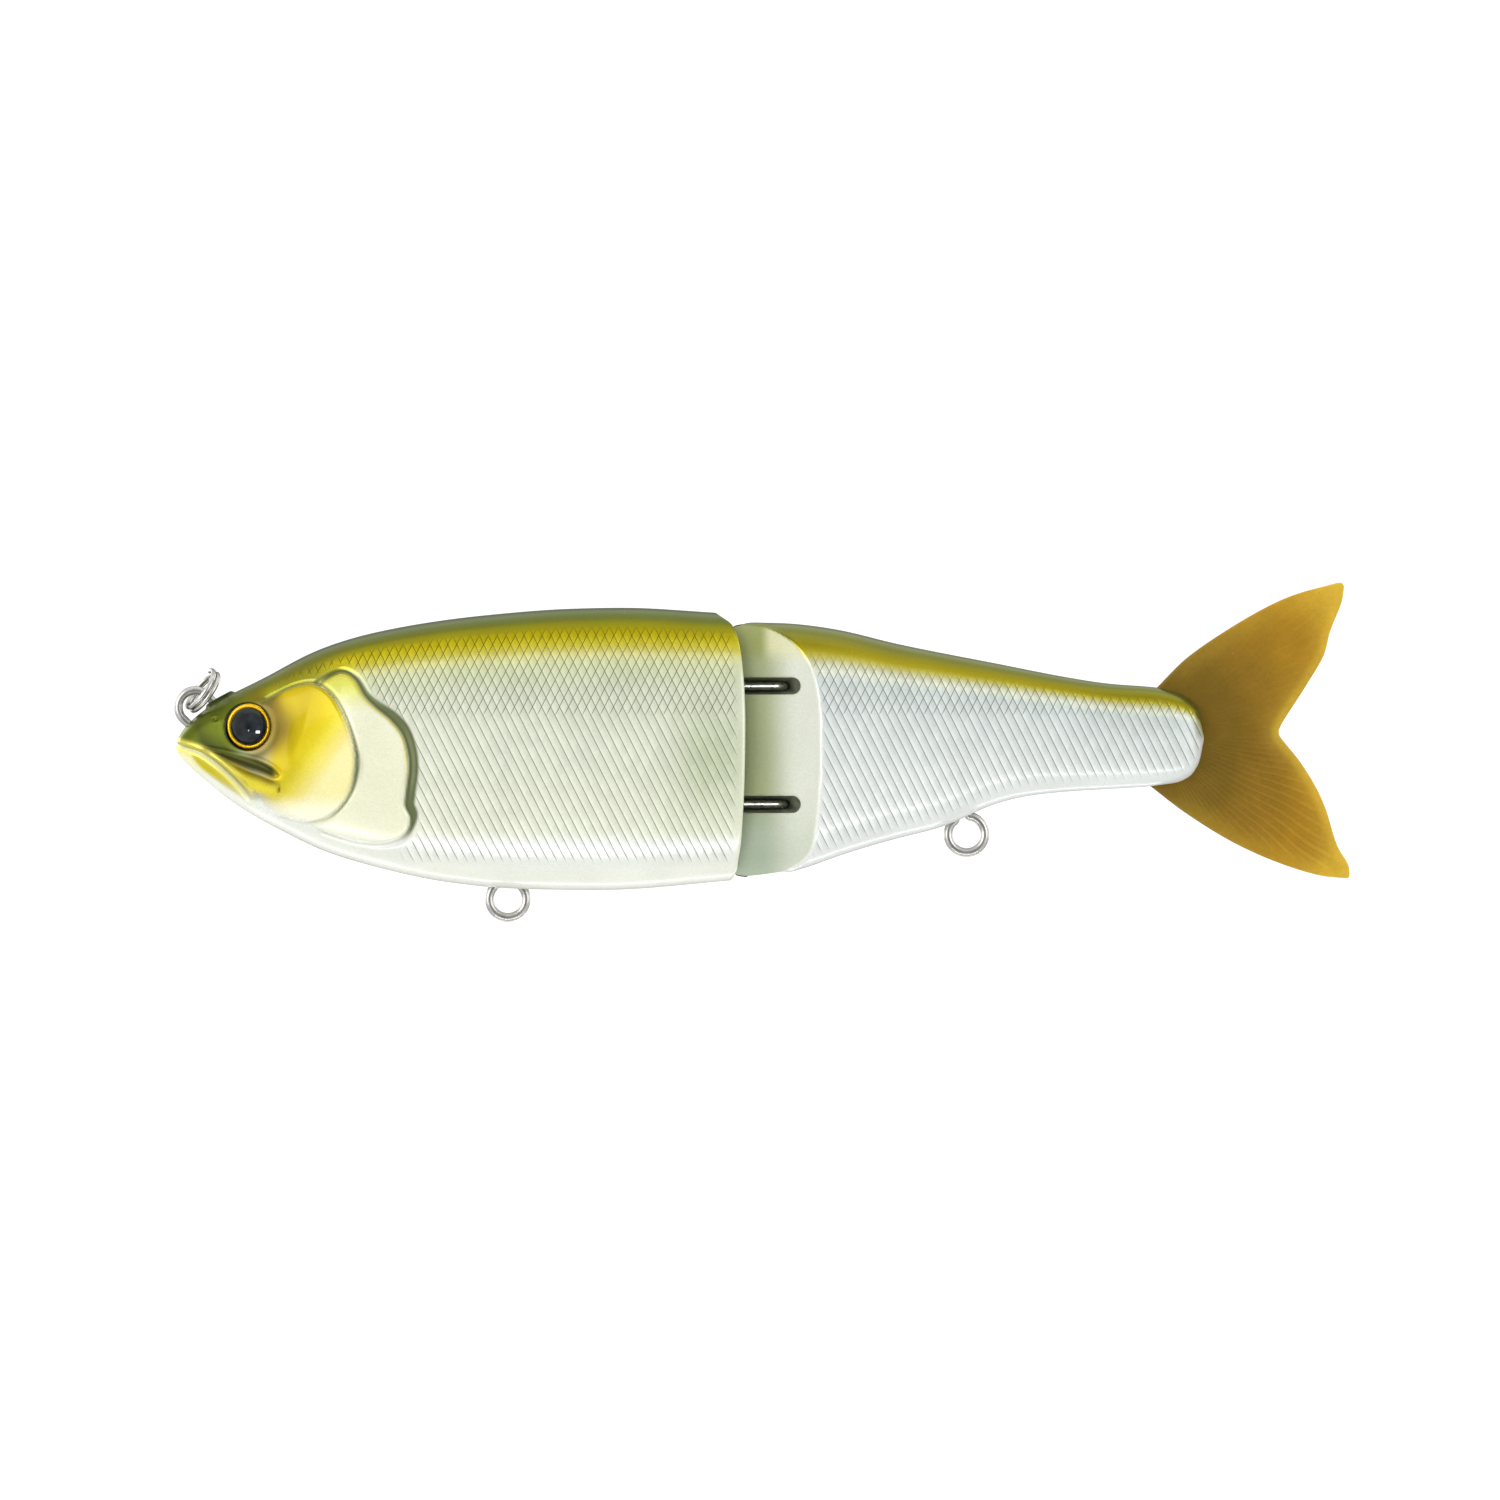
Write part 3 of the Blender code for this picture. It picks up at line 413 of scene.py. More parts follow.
def cut(piece, cutters):
    """Takes the cutters out of a piece, and removes them."""
    for cutter in cutters:
        step = piece.modifiers.new("cut", "BOOLEAN")
        step.object = cutter
        step.operation = "DIFFERENCE"
        step.solver = "MANIFOLD"
    bpy.context.view_layer.update()
    graph = bpy.context.evaluated_depsgraph_get()
    mesh = bpy.data.meshes.new_from_object(piece.evaluated_get(graph))
    piece.modifiers.clear()
    piece.data = mesh
    for cutter in cutters:
        bpy.data.objects.remove(cutter)
    mesh.shade_smooth()
    mesh.set_sharp_from_angle(angle=CUT_SHARP_ANGLE)


def vertices_of(mesh):
    """Vertex places in millimetres."""
    flat = np.zeros(len(mesh.vertices) * 3, np.float32)
    mesh.vertices.foreach_get("co", flat)
    return flat.reshape(-1, 3).astype(float) / MM


def write_attribute(mesh, name, values):
    """Stores a number or a colour on each vertex."""
    values = np.asarray(values, np.float32)
    if values.ndim == 1:
        mesh.attributes.new(name, "FLOAT", "POINT").data.foreach_set("value", values)
        return
    colours = np.ones((len(values), 4), np.float32)
    colours[:, :3] = np.clip(values, 0, None)
    mesh.attributes.new(name, "FLOAT_COLOR", "POINT").data.foreach_set("color", colours.ravel())


# ==== Node graphs ====


class Graph:
    """The node tree of a material or a world, with short calls for the nodes used here."""

    def __init__(self, owner, shader="Principled BSDF"):
        owner.use_nodes = True
        self.owner = owner
        self.tree = owner.node_tree
        self.shader = self.tree.nodes[shader]

    def add(self, kind, inputs=(), **settings):
        node = self.tree.nodes.new(kind)
        for key, value in settings.items():
            setattr(node, key, value)
        for key, value in dict(inputs).items():
            self.give(node.inputs[key], value)
        return node

    def give(self, socket, value):
        if isinstance(value, bpy.types.NodeSocket):
            self.tree.links.new(value, socket)
        else:
            socket.default_value = value

    def math(self, operation, a, b=0.0):
        return self.add("ShaderNodeMath", {0: a, 1: b}, operation=operation).outputs[0]

    def times(self, a, b):
        return self.math("MULTIPLY", a, b)

    def add_up(self, first, *others):
        for other in others:
            first = self.math("ADD", first, other)
        return first

    def remap(self, value, low, high, start=0.0, end=1.0):
        inputs = {"Value": value, "From Min": low, "From Max": high, "To Min": start, "To Max": end}
        return self.add("ShaderNodeMapRange", inputs, interpolation_type="SMOOTHSTEP").outputs["Result"]

    def middle(self, noise, start=0.0, end=1.0):
        """A noise's usual range, 0.3 to 0.7, as start to end."""
        return self.remap(noise, 0.3, 0.7, start, end)

    def mix(self, share, a, b, blend="MIX"):
        node = self.add("ShaderNodeMix", data_type="RGBA", blend_type=blend)
        colours = [socket for socket in node.inputs if socket.type == "RGBA"]
        self.give(node.inputs["Factor"], share)
        self.give(colours[0], a)
        self.give(colours[1], b)
        return next(socket for socket in node.outputs if socket.type == "RGBA")

    def toned(self, colour, tone):
        """A colour made lighter or darker by a factor."""
        grey = self.add("ShaderNodeCombineColor", {0: tone, 1: tone, 2: tone}).outputs[0]
        return self.mix(1.0, colour, grey, "MULTIPLY")

    def cells(self, places, scale):
        """Distance to the nearest of some scattered points."""
        return self.add("ShaderNodeTexVoronoi", {"Vector": places, "Scale": scale}).outputs["Distance"]

    def attribute(self, name, output="Fac"):
        return self.add("ShaderNodeAttribute", attribute_name=name).outputs[output]

    def places(self):
        """Object coordinates in millimetres."""
        here = self.add("ShaderNodeTexCoord").outputs["Object"]
        scaled = self.add("ShaderNodeVectorMath", {0: here, 3: 1 / MM}, operation="SCALE")
        return scaled.outputs[0]

    def noise(self, places, scale, detail=2.0, roughness=0.5):
        inputs = {"Vector": places, "Scale": scale, "Detail": detail, "Roughness": roughness}
        return self.add("ShaderNodeTexNoise", inputs).outputs["Fac"]

    def bump(self, height, distance, strength):
        inputs = {"Height": height, "Distance": distance * MM, "Strength": strength}
        return self.add("ShaderNodeBump", inputs).outputs["Normal"]

    def finish(self, **inputs):
        for key, value in inputs.items():
            self.give(self.shader.inputs[key.replace("_", " ")], value)
        return self.owner


# ==== Materials ====


def scale_lines(graph, places, slope):
    """How far along the lattice a point is, counted in lines, for lines that lean one way."""
    parts = graph.add("ShaderNodeSeparateXYZ", {0: places})
    along = graph.math("DIVIDE", parts.outputs["X"], SCALE_WIDTH)
    up = graph.times(parts.outputs["Z"], slope / SCALE_HEIGHT)
    return graph.math("ADD", along, up)


def near_line(graph, count):
    """1 on a scale line and 0 between the lines."""
    away = graph.math("ABSOLUTE", graph.math("SUBTRACT", count, graph.math("ROUND", count)))
    return graph.remap(away, *LINE_EDGE, 1.0, 0.0)


def painted_shell_material(name, line_code, glint):
    """Airbrushed paint over a pearl coat, with dark scale lines, a painted glint across each strip, fine
    flake and a clear lacquer.
    """
    graph = Graph(bpy.data.materials.new(name))
    places = graph.places()
    paint = graph.attribute("paint", "Color")
    scaled = graph.attribute("down_lines")
    down = scale_lines(graph, places, 1.0)
    up = scale_lines(graph, places, -1.0)
    down_line = graph.times(near_line(graph, down), scaled)
    up_line = graph.times(near_line(graph, up), graph.attribute("up_lines"))
    lines = graph.math("MAXIMUM", down_line, up_line)
    across = graph.math("SUBTRACT", down, graph.math("FLOOR", down))
    # painted glint: each strip between the lines that run down is lighter by one line and darker towards
    # the next
    strip_glint = graph.times(graph.remap(across, 0.05, 0.95, glint, -glint), scaled)
    cell = graph.add("ShaderNodeCombineXYZ", {0: graph.math("FLOOR", down), 1: graph.math("FLOOR", up)})
    random = graph.add("ShaderNodeTexWhiteNoise", {"Vector": cell.outputs[0]}, noise_dimensions="3D")
    cell_tone = graph.remap(random.outputs["Value"], 0.0, 1.0, -0.035, 0.035)
    flake = graph.middle(graph.noise(places, 3.4, 3.0, 0.7), -0.05, 0.05)
    cloud = graph.middle(graph.noise(places, 0.12, 3.0), -0.03, 0.03)
    tone = graph.add_up(strip_glint, flake, cloud, 1.0, graph.times(cell_tone, scaled))
    ink = graph.mix(1.0, paint, rgba(line_code), "MULTIPLY")
    coloured = graph.mix(graph.times(lines, 0.85), graph.toned(paint, tone), ink)
    dot = graph.remap(graph.cells(places, 0.22), 0.022, 0.036, 0.55, 0.0)
    speck = graph.times(dot, graph.attribute("specks"))
    coloured = graph.mix(speck, coloured, rgba("b9bc90"))
    roughness = graph.remap(graph.attribute("matte"), 0.0, 1.0, 0.24, 0.62)
    height = graph.math("SUBTRACT", graph.times(flake, 0.9), lines)
    return graph.finish(
        Base_Color=coloured,
        Metallic=graph.attribute("foil"),
        Roughness=graph.add_up(roughness, graph.times(flake, 0.6)),
        Normal=graph.bump(height, 0.04, 0.55),
        Specular_IOR_Level=0.25,
        Coat_Weight=graph.attribute("gloss"),
        Coat_Roughness=0.06,
    )


def steel_material(name, colour, low, high):
    """Drawn and polished stainless steel: fine scratches and slightly uneven polish."""
    graph = Graph(bpy.data.materials.new(name))
    places = graph.places()
    haze = graph.noise(places, 0.9, 4.0, 0.6)
    scratch = graph.noise(places, 9.0, 5.0, 0.75)
    dull = (*[c * 0.86 for c in colour], 1.0)
    return graph.finish(
        Base_Color=graph.mix(graph.middle(haze), dull, (*colour, 1.0)),
        Metallic=1.0,
        Roughness=graph.add_up(graph.middle(haze, low, high), graph.times(scratch, 0.06)),
        Normal=graph.bump(scratch, 0.006, 0.5),
        Specular_Tint=(0.3, 0.3, 0.3, 1.0),
    )


def ballast_material():
    """Cast ballast metal: dull grey with pits and oxide clouds."""
    graph = Graph(bpy.data.materials.new("ballast_metal"))
    places = graph.places()
    dark, pale = (0.16, 0.16, 0.17, 1.0), (0.30, 0.30, 0.31, 1.0)
    cloud = graph.noise(places, 0.5, 5.0, 0.6)
    pit = graph.remap(graph.cells(places, 1.8), 0.05, 0.2, -1.0, 0.0)
    return graph.finish(
        Base_Color=graph.mix(graph.remap(cloud, 0.35, 0.65), dark, pale),
        Metallic=1.0,
        Roughness=graph.middle(cloud, 0.35, 0.6),
        Normal=graph.bump(pit, 0.05, 0.6),
    )


def eye_foil_material():
    """Gold foil stamped with fine rays round the pupil, deeper orange at its rims."""
    graph = Graph(bpy.data.materials.new("gold_eye_foil"))
    ring = graph.attribute("foil_radius")
    angle = graph.times(graph.attribute("foil_angle"), 14.0)
    rays = graph.add("ShaderNodeCombineXYZ", {0: angle, 1: ring})
    streak = graph.noise(rays.outputs[0], 2.6, 4.0, 0.7)
    gold = graph.mix(graph.remap(streak, 0.35, 0.65), rgba("d09a08"), rgba("f8d418"))
    rim = graph.math("MAXIMUM", graph.remap(ring, 3.32, 3.5), graph.remap(ring, 2.92, 2.8))
    return graph.finish(
        Base_Color=graph.mix(graph.times(rim, 0.6), gold, rgba("a05c08")),
        Metallic=0.7,
        Roughness=graph.middle(streak, 0.2, 0.36),
        Normal=graph.bump(streak, 0.05, 0.5),
    )


def eye_dome_material():
    """Black glassy cap over the pupil."""
    graph = Graph(bpy.data.materials.new("black_eye_dome"))
    places = graph.places()
    depth = graph.remap(graph.noise(places, 0.8, 3.0), 0.35, 0.65)
    return graph.finish(
        Base_Color=graph.mix(depth, (0.004, 0.005, 0.006, 1.0), (0.012, 0.016, 0.02, 1.0)),
        Roughness=graph.middle(graph.noise(places, 5.0, 3.0), 0.03, 0.07),
        Specular_IOR_Level=0.1,
        Coat_Weight=0.38,
        Coat_Roughness=0.03,
    )


def soft_tail_material():
    """Amber elastomer: deep brown where it is thick, golden where it is thin, with motes inside."""
    graph = Graph(bpy.data.materials.new("amber_soft_tail"))
    rest = graph.add("ShaderNodeAttribute", attribute_name="rest_place").outputs["Vector"]
    paint = graph.attribute("paint", "Color")
    cloud = graph.middle(graph.noise(rest, 0.16, 4.0, 0.55), -0.07, 0.07)
    grain = graph.middle(graph.noise(rest, 2.2, 3.0, 0.65), -0.05, 0.05)
    # the rays' painted highlights and shade darken and lighten the amber
    tone = graph.add_up(cloud, grain, graph.attribute("ray_highlight_and_shade"), 1.0)
    mote = graph.remap(graph.cells(rest, 0.3), 0.03, 0.055, 0.5, 0.0)
    return graph.finish(
        Base_Color=graph.mix(mote, graph.toned(paint, tone), rgba("b08f50")),
        Roughness=graph.middle(graph.noise(rest, 0.7, 3.0), 0.42, 0.58),
        Normal=graph.bump(graph.noise(rest, 1.6, 4.0, 0.6), 0.03, 0.5),
        Specular_IOR_Level=0.2,
        Subsurface_Weight=0.35,
        Subsurface_Radius=(1.0, 0.55, 0.12),
        Subsurface_Scale=1.2 * MM,
    )


# ==== Shape of the shells ====

BACK = {"front": smooth_line(FRONT_BACK, FAIRING), "rear": smooth_line(REAR_BACK, FAIRING)}
BELLY = {"front": smooth_line(FRONT_BELLY, FAIRING), "rear": smooth_line(REAR_BELLY, FAIRING)}
HALF_WIDTH = {
    "front": smooth_line(FRONT_HALF_WIDTH, FAIRING),
    "rear": smooth_line(REAR_HALF_WIDTH, FAIRING),
}
RIM_X = smooth_line(sorted((z, x) for x, z in RIM))


def outline_at(which, x):
    """Height of a section's middle, and half its height, at x."""
    back, belly = BACK[which](x), BELLY[which](x)
    return (back + belly) / 2, (back - belly) / 2


def section_shares(angles):
    """Shares of the half width and of the half height at angles round a section."""
    power = 2 / SECTION_EXPONENT
    return np.sin(angles) ** power, np.sign(np.cos(angles)) * np.abs(np.cos(angles)) ** power


def girth_angles(count):
    """Angles from the back to the belly, evenly spaced round a typical section, with a fine seam edge."""
    fine = np.linspace(0, math.pi, 4001)
    across, up = section_shares(fine)
    wide, tall = TYPICAL_HALF_SECTION
    length = np.concatenate([[0], np.cumsum(np.hypot(np.diff(wide * across), np.diff(tall * up)))])
    even = np.interp(np.linspace(0, length[-1], count), length, fine)
    edge = np.array([0.0, 0.002, 0.006])
    return np.concatenate([edge, even[1:-1], math.pi - edge[::-1]])


def section_half_width(which, x, z):
    """Half width of a section's outer form at (x, z)."""
    middle, tall = outline_at(which, x)
    t = np.clip(np.abs(z - middle) / tall, 0, 1)
    return HALF_WIDTH[which](x) * (1 - t**SECTION_EXPONENT) ** (1 / SECTION_EXPONENT)


def knuckle_half_width(x, z):
    """Half width at (x, z) of the turned knuckle; behind the pin it flares out of the way of the loft."""
    t = np.clip(np.abs(z - KNUCKLE_CENTRE_Z) / KNUCKLE_HALF_HEIGHT, 0, 1)
    radius = KNUCKLE_RADIUS * (1 - t**KNUCKLE_EXPONENT) ** (1 / KNUCKLE_EXPONENT)
    ahead = np.sqrt(np.clip(radius**2 - (PIN_X - x) ** 2, 0, None))
    return np.where(x < PIN_X, ahead, radius + 0.1 * (x - PIN_X) ** 2)


def normals_of(grid):
    along = np.gradient(grid, axis=0)
    round_ = np.gradient(grid, axis=1)
    normal = np.cross(along, round_)
    length = np.linalg.norm(normal, axis=-1)[..., None]
    return normal / np.where(length < 1e-9, 1, length)


def line_depth(x, z, slope):
    """Groove profile of one family of scale lines, from 0 to 1 at the bottom of a groove."""
    count = x / SCALE_WIDTH + slope * z / SCALE_HEIGHT
    away = np.abs(count - np.round(count)) * SCALE_WIDTH * LINE_SLANT
    return 0.5 + 0.5 * np.cos(math.pi * np.clip(away / GROOVE_HALF_WIDTH, 0, 1))


def scale_relief(x, z, fields, overlap):
    """Grooves of the scale lines, and a slight overlap of the strips between those that run down."""
    down = fields["down_lines"] * line_depth(x, z, 1.0)
    up = fields["up_lines"] * line_depth(x, z, -1.0)
    count = x / SCALE_WIDTH + z / SCALE_HEIGHT
    strip = 1 - (count - np.floor(count))
    lift = overlap * strip * fields["down_lines"] * ease(z, -0.7, -2.2)
    return -GROOVE_DEPTH * np.maximum(down, up) + lift


def rounded_off(away, radius):
    """How far a rounded edge drops below the surface, away from its rim."""
    return radius - np.sqrt(radius**2 - (radius - np.clip(away, 0, radius)) ** 2)


CHEEK_CURVE = curve_points(CHEEK_EDGE)
CHEEK = np.vstack([CHEEK_CURVE, CHEEK_INNER])
OPERCLE_CURVE = curve_points(OPERCLE_EDGE)
OPERCLE = np.vstack([OPERCLE_CURVE, OPERCLE_INNER])
MOUTH = curve_points(MOUTH_LINE)
MAXILLA_CURVE = curve_points([*MAXILLA, MAXILLA[0]])
LIP_CURVE = curve_points([*LOWER_LIP, LOWER_LIP[0]])
PAINT_EDGE_CURVE = curve_points(PAINT_EDGE, 5)


def signed_distance(x, z, outline, edge=None):
    """Distance to an outline's edge, above 0 inside it."""
    away = distance_to(x, z, outline if edge is None else edge)
    return np.where(inside(x, z, outline), away, -away)


def front_fields(x, z):
    """The named regions of the front section that both its relief and its paint follow."""
    cheek = signed_distance(x, z, CHEEK, CHEEK_CURVE)
    opercle = signed_distance(x, z, OPERCLE, OPERCLE_CURVE)
    fields = {
        "cheek": cheek,
        "opercle": np.where(cheek > 0, -1.0, opercle),
        "opercle_raw": opercle,
        "mouth": distance_to(x, z, MOUTH),
        "maxilla": signed_distance(x, z, MAXILLA_CURVE),
        "lip": signed_distance(x, z, LIP_CURVE),
        "eye": np.hypot(x - EYE_X, z - EYE_Z),
        "rim": RIM_X(z) - x,
    }
    behind_head = ease(x, 31, 34)
    off_plates = ease(np.maximum(cheek, opercle), -1, -2)
    depth, tall = BACK["front"](x) - z, outline_at("front", x)[1]
    start = ease(depth, tall * 0.12, tall * 0.2)
    area = off_plates * start * ease(fields["rim"], 1, 1.9) * np.where(z > -2, 1.0, behind_head)
    top_reach = ease(x, 9, 14)
    fields["down_lines"] = area * ease(z, -24, -22.6) * top_reach
    fields["up_lines"] = area * ease(z, -1.6, -0.7) * top_reach
    return fields


def collar_distance(x, y, z):
    """Distance to the line over the nose on which the collar of the line tie lies."""
    along = np.clip(x, 2.6, 4.8)
    return np.sqrt((x - along) ** 2 + (z - (0.75 + 0.48 * (along - 2.6))) ** 2 + y**2)


def front_relief(x, y, z):
    """Height of the front section's moulded detail above its smooth form."""
    f = front_fields(x, z)
    relief = scale_relief(x, z, f, 0.035)
    cheek = f["cheek"]
    fade = np.exp(-np.clip(cheek, 0, None) / 6.5)
    relief = relief + 0.5 * ease(cheek, 0, 0.45) * fade * ease(x, 10, 15)
    relief -= 0.2 * hump(cheek, -0.25, 0.3)
    plate = np.where(cheek > 0, 0.0, f["opercle_raw"])
    relief += 0.42 * ease(plate, 0, 0.5) * np.exp(-np.clip(plate, 0, None) / 7.0)
    relief -= 0.24 * hump(plate, -0.35, 0.45) * (cheek < 0)
    relief -= 0.3 * hump(f["mouth"], 0, 0.28) * ease(x, 9.2, 8)
    relief += 0.16 * hump(f["mouth"], 0.75, 0.4) * ease(x, 9.6, 7.6)
    relief += 0.22 * ease(f["maxilla"], 0, 0.7) * ease(x, -2, 3)
    relief -= 0.06 * hump(f["maxilla"], -0.2, 0.25) * ease(x, -1, 4)
    relief -= 0.1 * ease(f["lip"], 0, 0.8)
    relief += 0.07 * hump(f["eye"], 4.3, 0.6)
    relief -= 0.25 * hump(x, 13.3, 0.2) * hump(z, -12.6, 0.6)
    nostril = np.hypot(x - 3.4, (z + 1.9) * 1.3)
    relief -= 0.22 * hump(nostril, 0, 0.35)
    relief += 0.1 * hump(nostril, 0.62, 0.25)
    relief -= rounded_off(f["rim"], 0.5)
    relief += 0.5 * ease(collar_distance(x, y, z), 1.5, 0.9)
    return relief


def rear_fields(x, z):
    """The named regions of the rear section that both its relief and its paint follow."""
    edge = distance_to(x, z, PAINT_EDGE_CURVE)
    outline = np.vstack([PAINT_EDGE_CURVE, [(60.0, -27.0), (60.0, 13.2)]])
    painted = np.where(inside(x, z, outline), -edge, edge)
    depth, tall = BACK["rear"](x) - z, outline_at("rear", x)[1]
    start = ease(depth, tall * 0.2, tall * 0.32)
    margin = ease(painted, 0.3, 1)
    rise = z - BELLY["rear"](x)
    return {
        "painted": painted,
        "depth": depth,
        "tall": tall,
        "rise": rise,
        "down_lines": start * margin * ease(rise, 0.8, 3.2),
        "up_lines": start * margin * ease(z, -1.6, -0.7),
    }


def slot_distance(x, z):
    """Distance outside the nearer slot's outline, in the side view."""
    away = np.full(np.shape(x), 1e9)
    for height in SLOT_HEIGHTS.values():
        past_end = np.clip(x - SLOT_END_X, 0, None)
        away = np.minimum(away, np.hypot(past_end, z - height) - SLOT_WIDTH / 2)
    return away


def rear_relief(x, z):
    """Height of the rear section's moulded detail above its smooth form."""
    f = rear_fields(x, z)
    relief = scale_relief(x, z, f, 0.05)
    relief += PAINT_STEP * (ease(f["painted"], -0.1, 0.35) - 1)
    relief += 0.05 * hump(f["painted"], 0.35, 0.25)
    relief -= rounded_off(slot_distance(x, z), 0.35)
    return relief


def close_half(grid, side):
    """Vertices and faces of a half shell: its skin, and the flat face in the middle plane."""
    rows, columns = grid.shape[:2]
    skin = grid.copy()
    skin[..., 1] *= side
    faces = grid_faces(rows, columns, flip=side > 0)
    top = [r * columns for r in range(rows)]
    tail_row = [(rows - 1) * columns + c for c in range(1, columns)]
    low = [r * columns + columns - 1 for r in range(rows - 2, -1, -1)]
    middle = top + tail_row + low
    nose = list(range(columns))
    faces.append(middle if side < 0 else middle[::-1])
    faces.append(nose[::-1] if side < 0 else nose)
    return skin.reshape(-1, 3), faces


def raised(grid, relief):
    """A skin pushed out by its relief, and kept off the middle plane by the seam."""
    outward = normals_of(grid)
    outward *= np.where(outward[..., 1:2] < 0, -1.0, 1.0)
    grid = grid + outward * relief[..., None]
    grid[..., 1] = np.maximum(grid[..., 1], SEAM)
    grid[:, 0, 1] = grid[:, -1, 1] = SEAM
    return grid


def drawn_in(row, move, size):
    """A row of a skin moved along the bait and drawn in to its middle, to round off an end."""
    centre = row.mean(axis=0)
    made = row.copy()
    made[:, 0] += move
    made[:, 1] = SEAM + (row[:, 1] - SEAM) * size
    made[:, 2] = centre[2] + (row[:, 2] - centre[2]) * size
    return made


def front_grid():
    """Skin of the front section's half at +Y: nose to rim, round the rim and in to the middle plane."""
    angles = girth_angles(GIRTH_POINTS["front"])
    across, up = section_shares(angles)
    across[0] = across[-1] = 0.0
    rim_x = np.full(len(angles), RIM_MEAN_X)
    for _ in range(8):
        middle, tall = outline_at("front", rim_x)
        rim_x = RIM_X(middle + tall * up)
    nose = NOSE_X + (NOSE_END_X - NOSE_X) * (1 - np.cos(np.linspace(0, math.pi / 2, 26))[:-1])
    rows = [np.full(len(angles), x) for x in nose]
    for share in np.linspace(0, 1, int((RIM_MEAN_X - NOSE_END_X) / GRID_STEP)):
        rows.append(NOSE_END_X + (rim_x - NOSE_END_X) * share)
    for back_off in (0.16, 0.1, 0.05, 0.02):
        rows.insert(-1, rim_x - back_off)
    x = np.array(rows)
    middle, tall = outline_at("front", x)
    y = HALF_WIDTH["front"](x) * across
    z = middle + tall * up
    grid = raised(np.stack([x, y, z], -1), front_relief(x, y, z))
    tip = [drawn_in(grid[0], -0.13, 0.35), drawn_in(grid[0], -0.08, 0.7)]
    inward = []
    for share in (0.97, 0.9, 0.75, 0.5, 0.25, 0.0):
        ring = grid[-1].copy()
        ring[:, 1] = SEAM + (ring[:, 1] - SEAM) * share
        inward.append(ring)
    return np.concatenate([tip, grid, inward])


def rear_grid():
    """Skin of the rear section's half at +Y, from the front of the knuckle to the tail end."""
    up = section_shares(girth_angles(GIRTH_POINTS["rear"]))[1]
    turn = np.linspace(0.02, math.pi / 2, 64)[:-1]
    ahead = PIN_X - KNUCKLE_RADIUS * np.cos(turn)
    straight = np.arange(PIN_X, REAR_CAP_X, GRID_STEP)
    end = REAR_CAP_X + REAR_CAP_LENGTH * np.sin(np.linspace(0, math.pi / 2, 40))
    rows = []
    for x in np.concatenate([ahead, straight, end]):
        back, belly = float(BACK["rear"](x)), float(BELLY["rear"](x))
        if x < PIN_X:
            share = ((PIN_X - x) / KNUCKLE_RADIUS) ** KNUCKLE_EXPONENT
            tall = KNUCKLE_HALF_HEIGHT * (1 - share) ** (1 / KNUCKLE_EXPONENT)
            back = min(back, KNUCKLE_CENTRE_Z + tall)
            belly = max(belly, KNUCKLE_CENTRE_Z - tall)
        z = (back + belly) / 2 + (back - belly) / 2 * up
        xs = np.full(len(z), x)
        y = section_half_width("rear", xs, z)
        if x < PIN_X + 8:
            y = np.clip(soft_min(y, knuckle_half_width(xs, z), 3.0), 0, None)
        y[0] = y[-1] = 0.0
        rows.append(np.stack([xs, y, z], -1))
    grid = np.array(rows)
    relief = rear_relief(grid[..., 0], grid[..., 2]) + PAINT_STEP * 0.5
    grid = raised(grid, relief * ease(grid[..., 0], 80, 82))
    closing = [drawn_in(grid[-1], 0.04, 0.7), drawn_in(grid[-1], 0.06, 0.35)]
    flat = closing[-1].copy()
    flat[:, 1] = SEAM
    return np.concatenate([grid, closing, [flat]])


def eye_frame(side):
    """The place and turn of an eye: its local +Z points out of the head."""
    out = Vector((-math.sin(EYE_TURN), side * math.cos(EYE_TURN), 0.0))
    turn = out.to_track_quat("Z", "Y").to_matrix().to_4x4()
    return Matrix.Translation(Vector((EYE_X, side * EYE_SURFACE_Y, EYE_Z))) @ turn


def cup_cutter():
    profile = []
    count = 60
    power = 2 / CUP_EXPONENT
    radius = KNUCKLE_RADIUS + CUP_CLEARANCE
    tall = KNUCKLE_HALF_HEIGHT + CUP_CLEARANCE * 0.8
    for k in range(count + 1):
        angle = math.pi * k / count
        height = KNUCKLE_CENTRE_Z + tall * math.copysign(abs(math.cos(angle)) ** power, math.cos(angle))
        profile.append((max(radius * max(math.sin(angle), 0.0) ** power, 0.01), height))
    verts, faces = turned_mesh(profile, 160, Matrix.Translation((PIN_X, 0, 0)))
    return new_piece("cup_cutter", verts, faces)


def eye_socket_cutter(side):
    steps = [(0.9, 3.0), (0.5, 0.9), (0.12, 0.1), (0.0, -0.15), (-0.1, -1.1), (-0.3, -EYE_SOCKET_DEPTH)]
    profile = [(EYE_SOCKET_RADIUS + wider, height) for wider, height in steps]
    verts, faces = turned_mesh(profile, 96, eye_frame(side))
    return new_piece("eye_socket_cutter", verts, faces)


def slot_cutters():
    """Cutters for the slots across the knuckle, with a close throat for the wire in the middle."""
    made = []
    spans = [
        (SLOT_WIDTH, SLOT_END_X, -14.0, -THROAT_REACH),
        (SLOT_WIDTH, SLOT_END_X, THROAT_REACH, 14.0),
        (THROAT_WIDTH, THROAT_END_X, -THROAT_REACH - 0.5, THROAT_REACH + 0.5),
    ]
    for word, height in SLOT_HEIGHTS.items():
        for k, (width, end_x, low, high) in enumerate(spans):
            angles = np.linspace(math.pi / 2, -math.pi / 2, 25)
            xs = np.concatenate([[70.0], end_x + width / 2 * np.cos(angles), [70.0]])
            zs = height + np.concatenate([[width / 2], width / 2 * np.sin(angles), [-width / 2]])
            near = np.stack([xs, np.full(len(xs), low), zs], 1)
            far = near + (0, high - low, 0)
            faces = tube_faces(2, len(xs))
            made.append(new_piece(f"{word}_slot_cutter_{k}", np.vstack([near, far]), faces))
    return made


# ==== Paint of the shells: airbrushed bands down the flank, by depth below the back in band depths ====

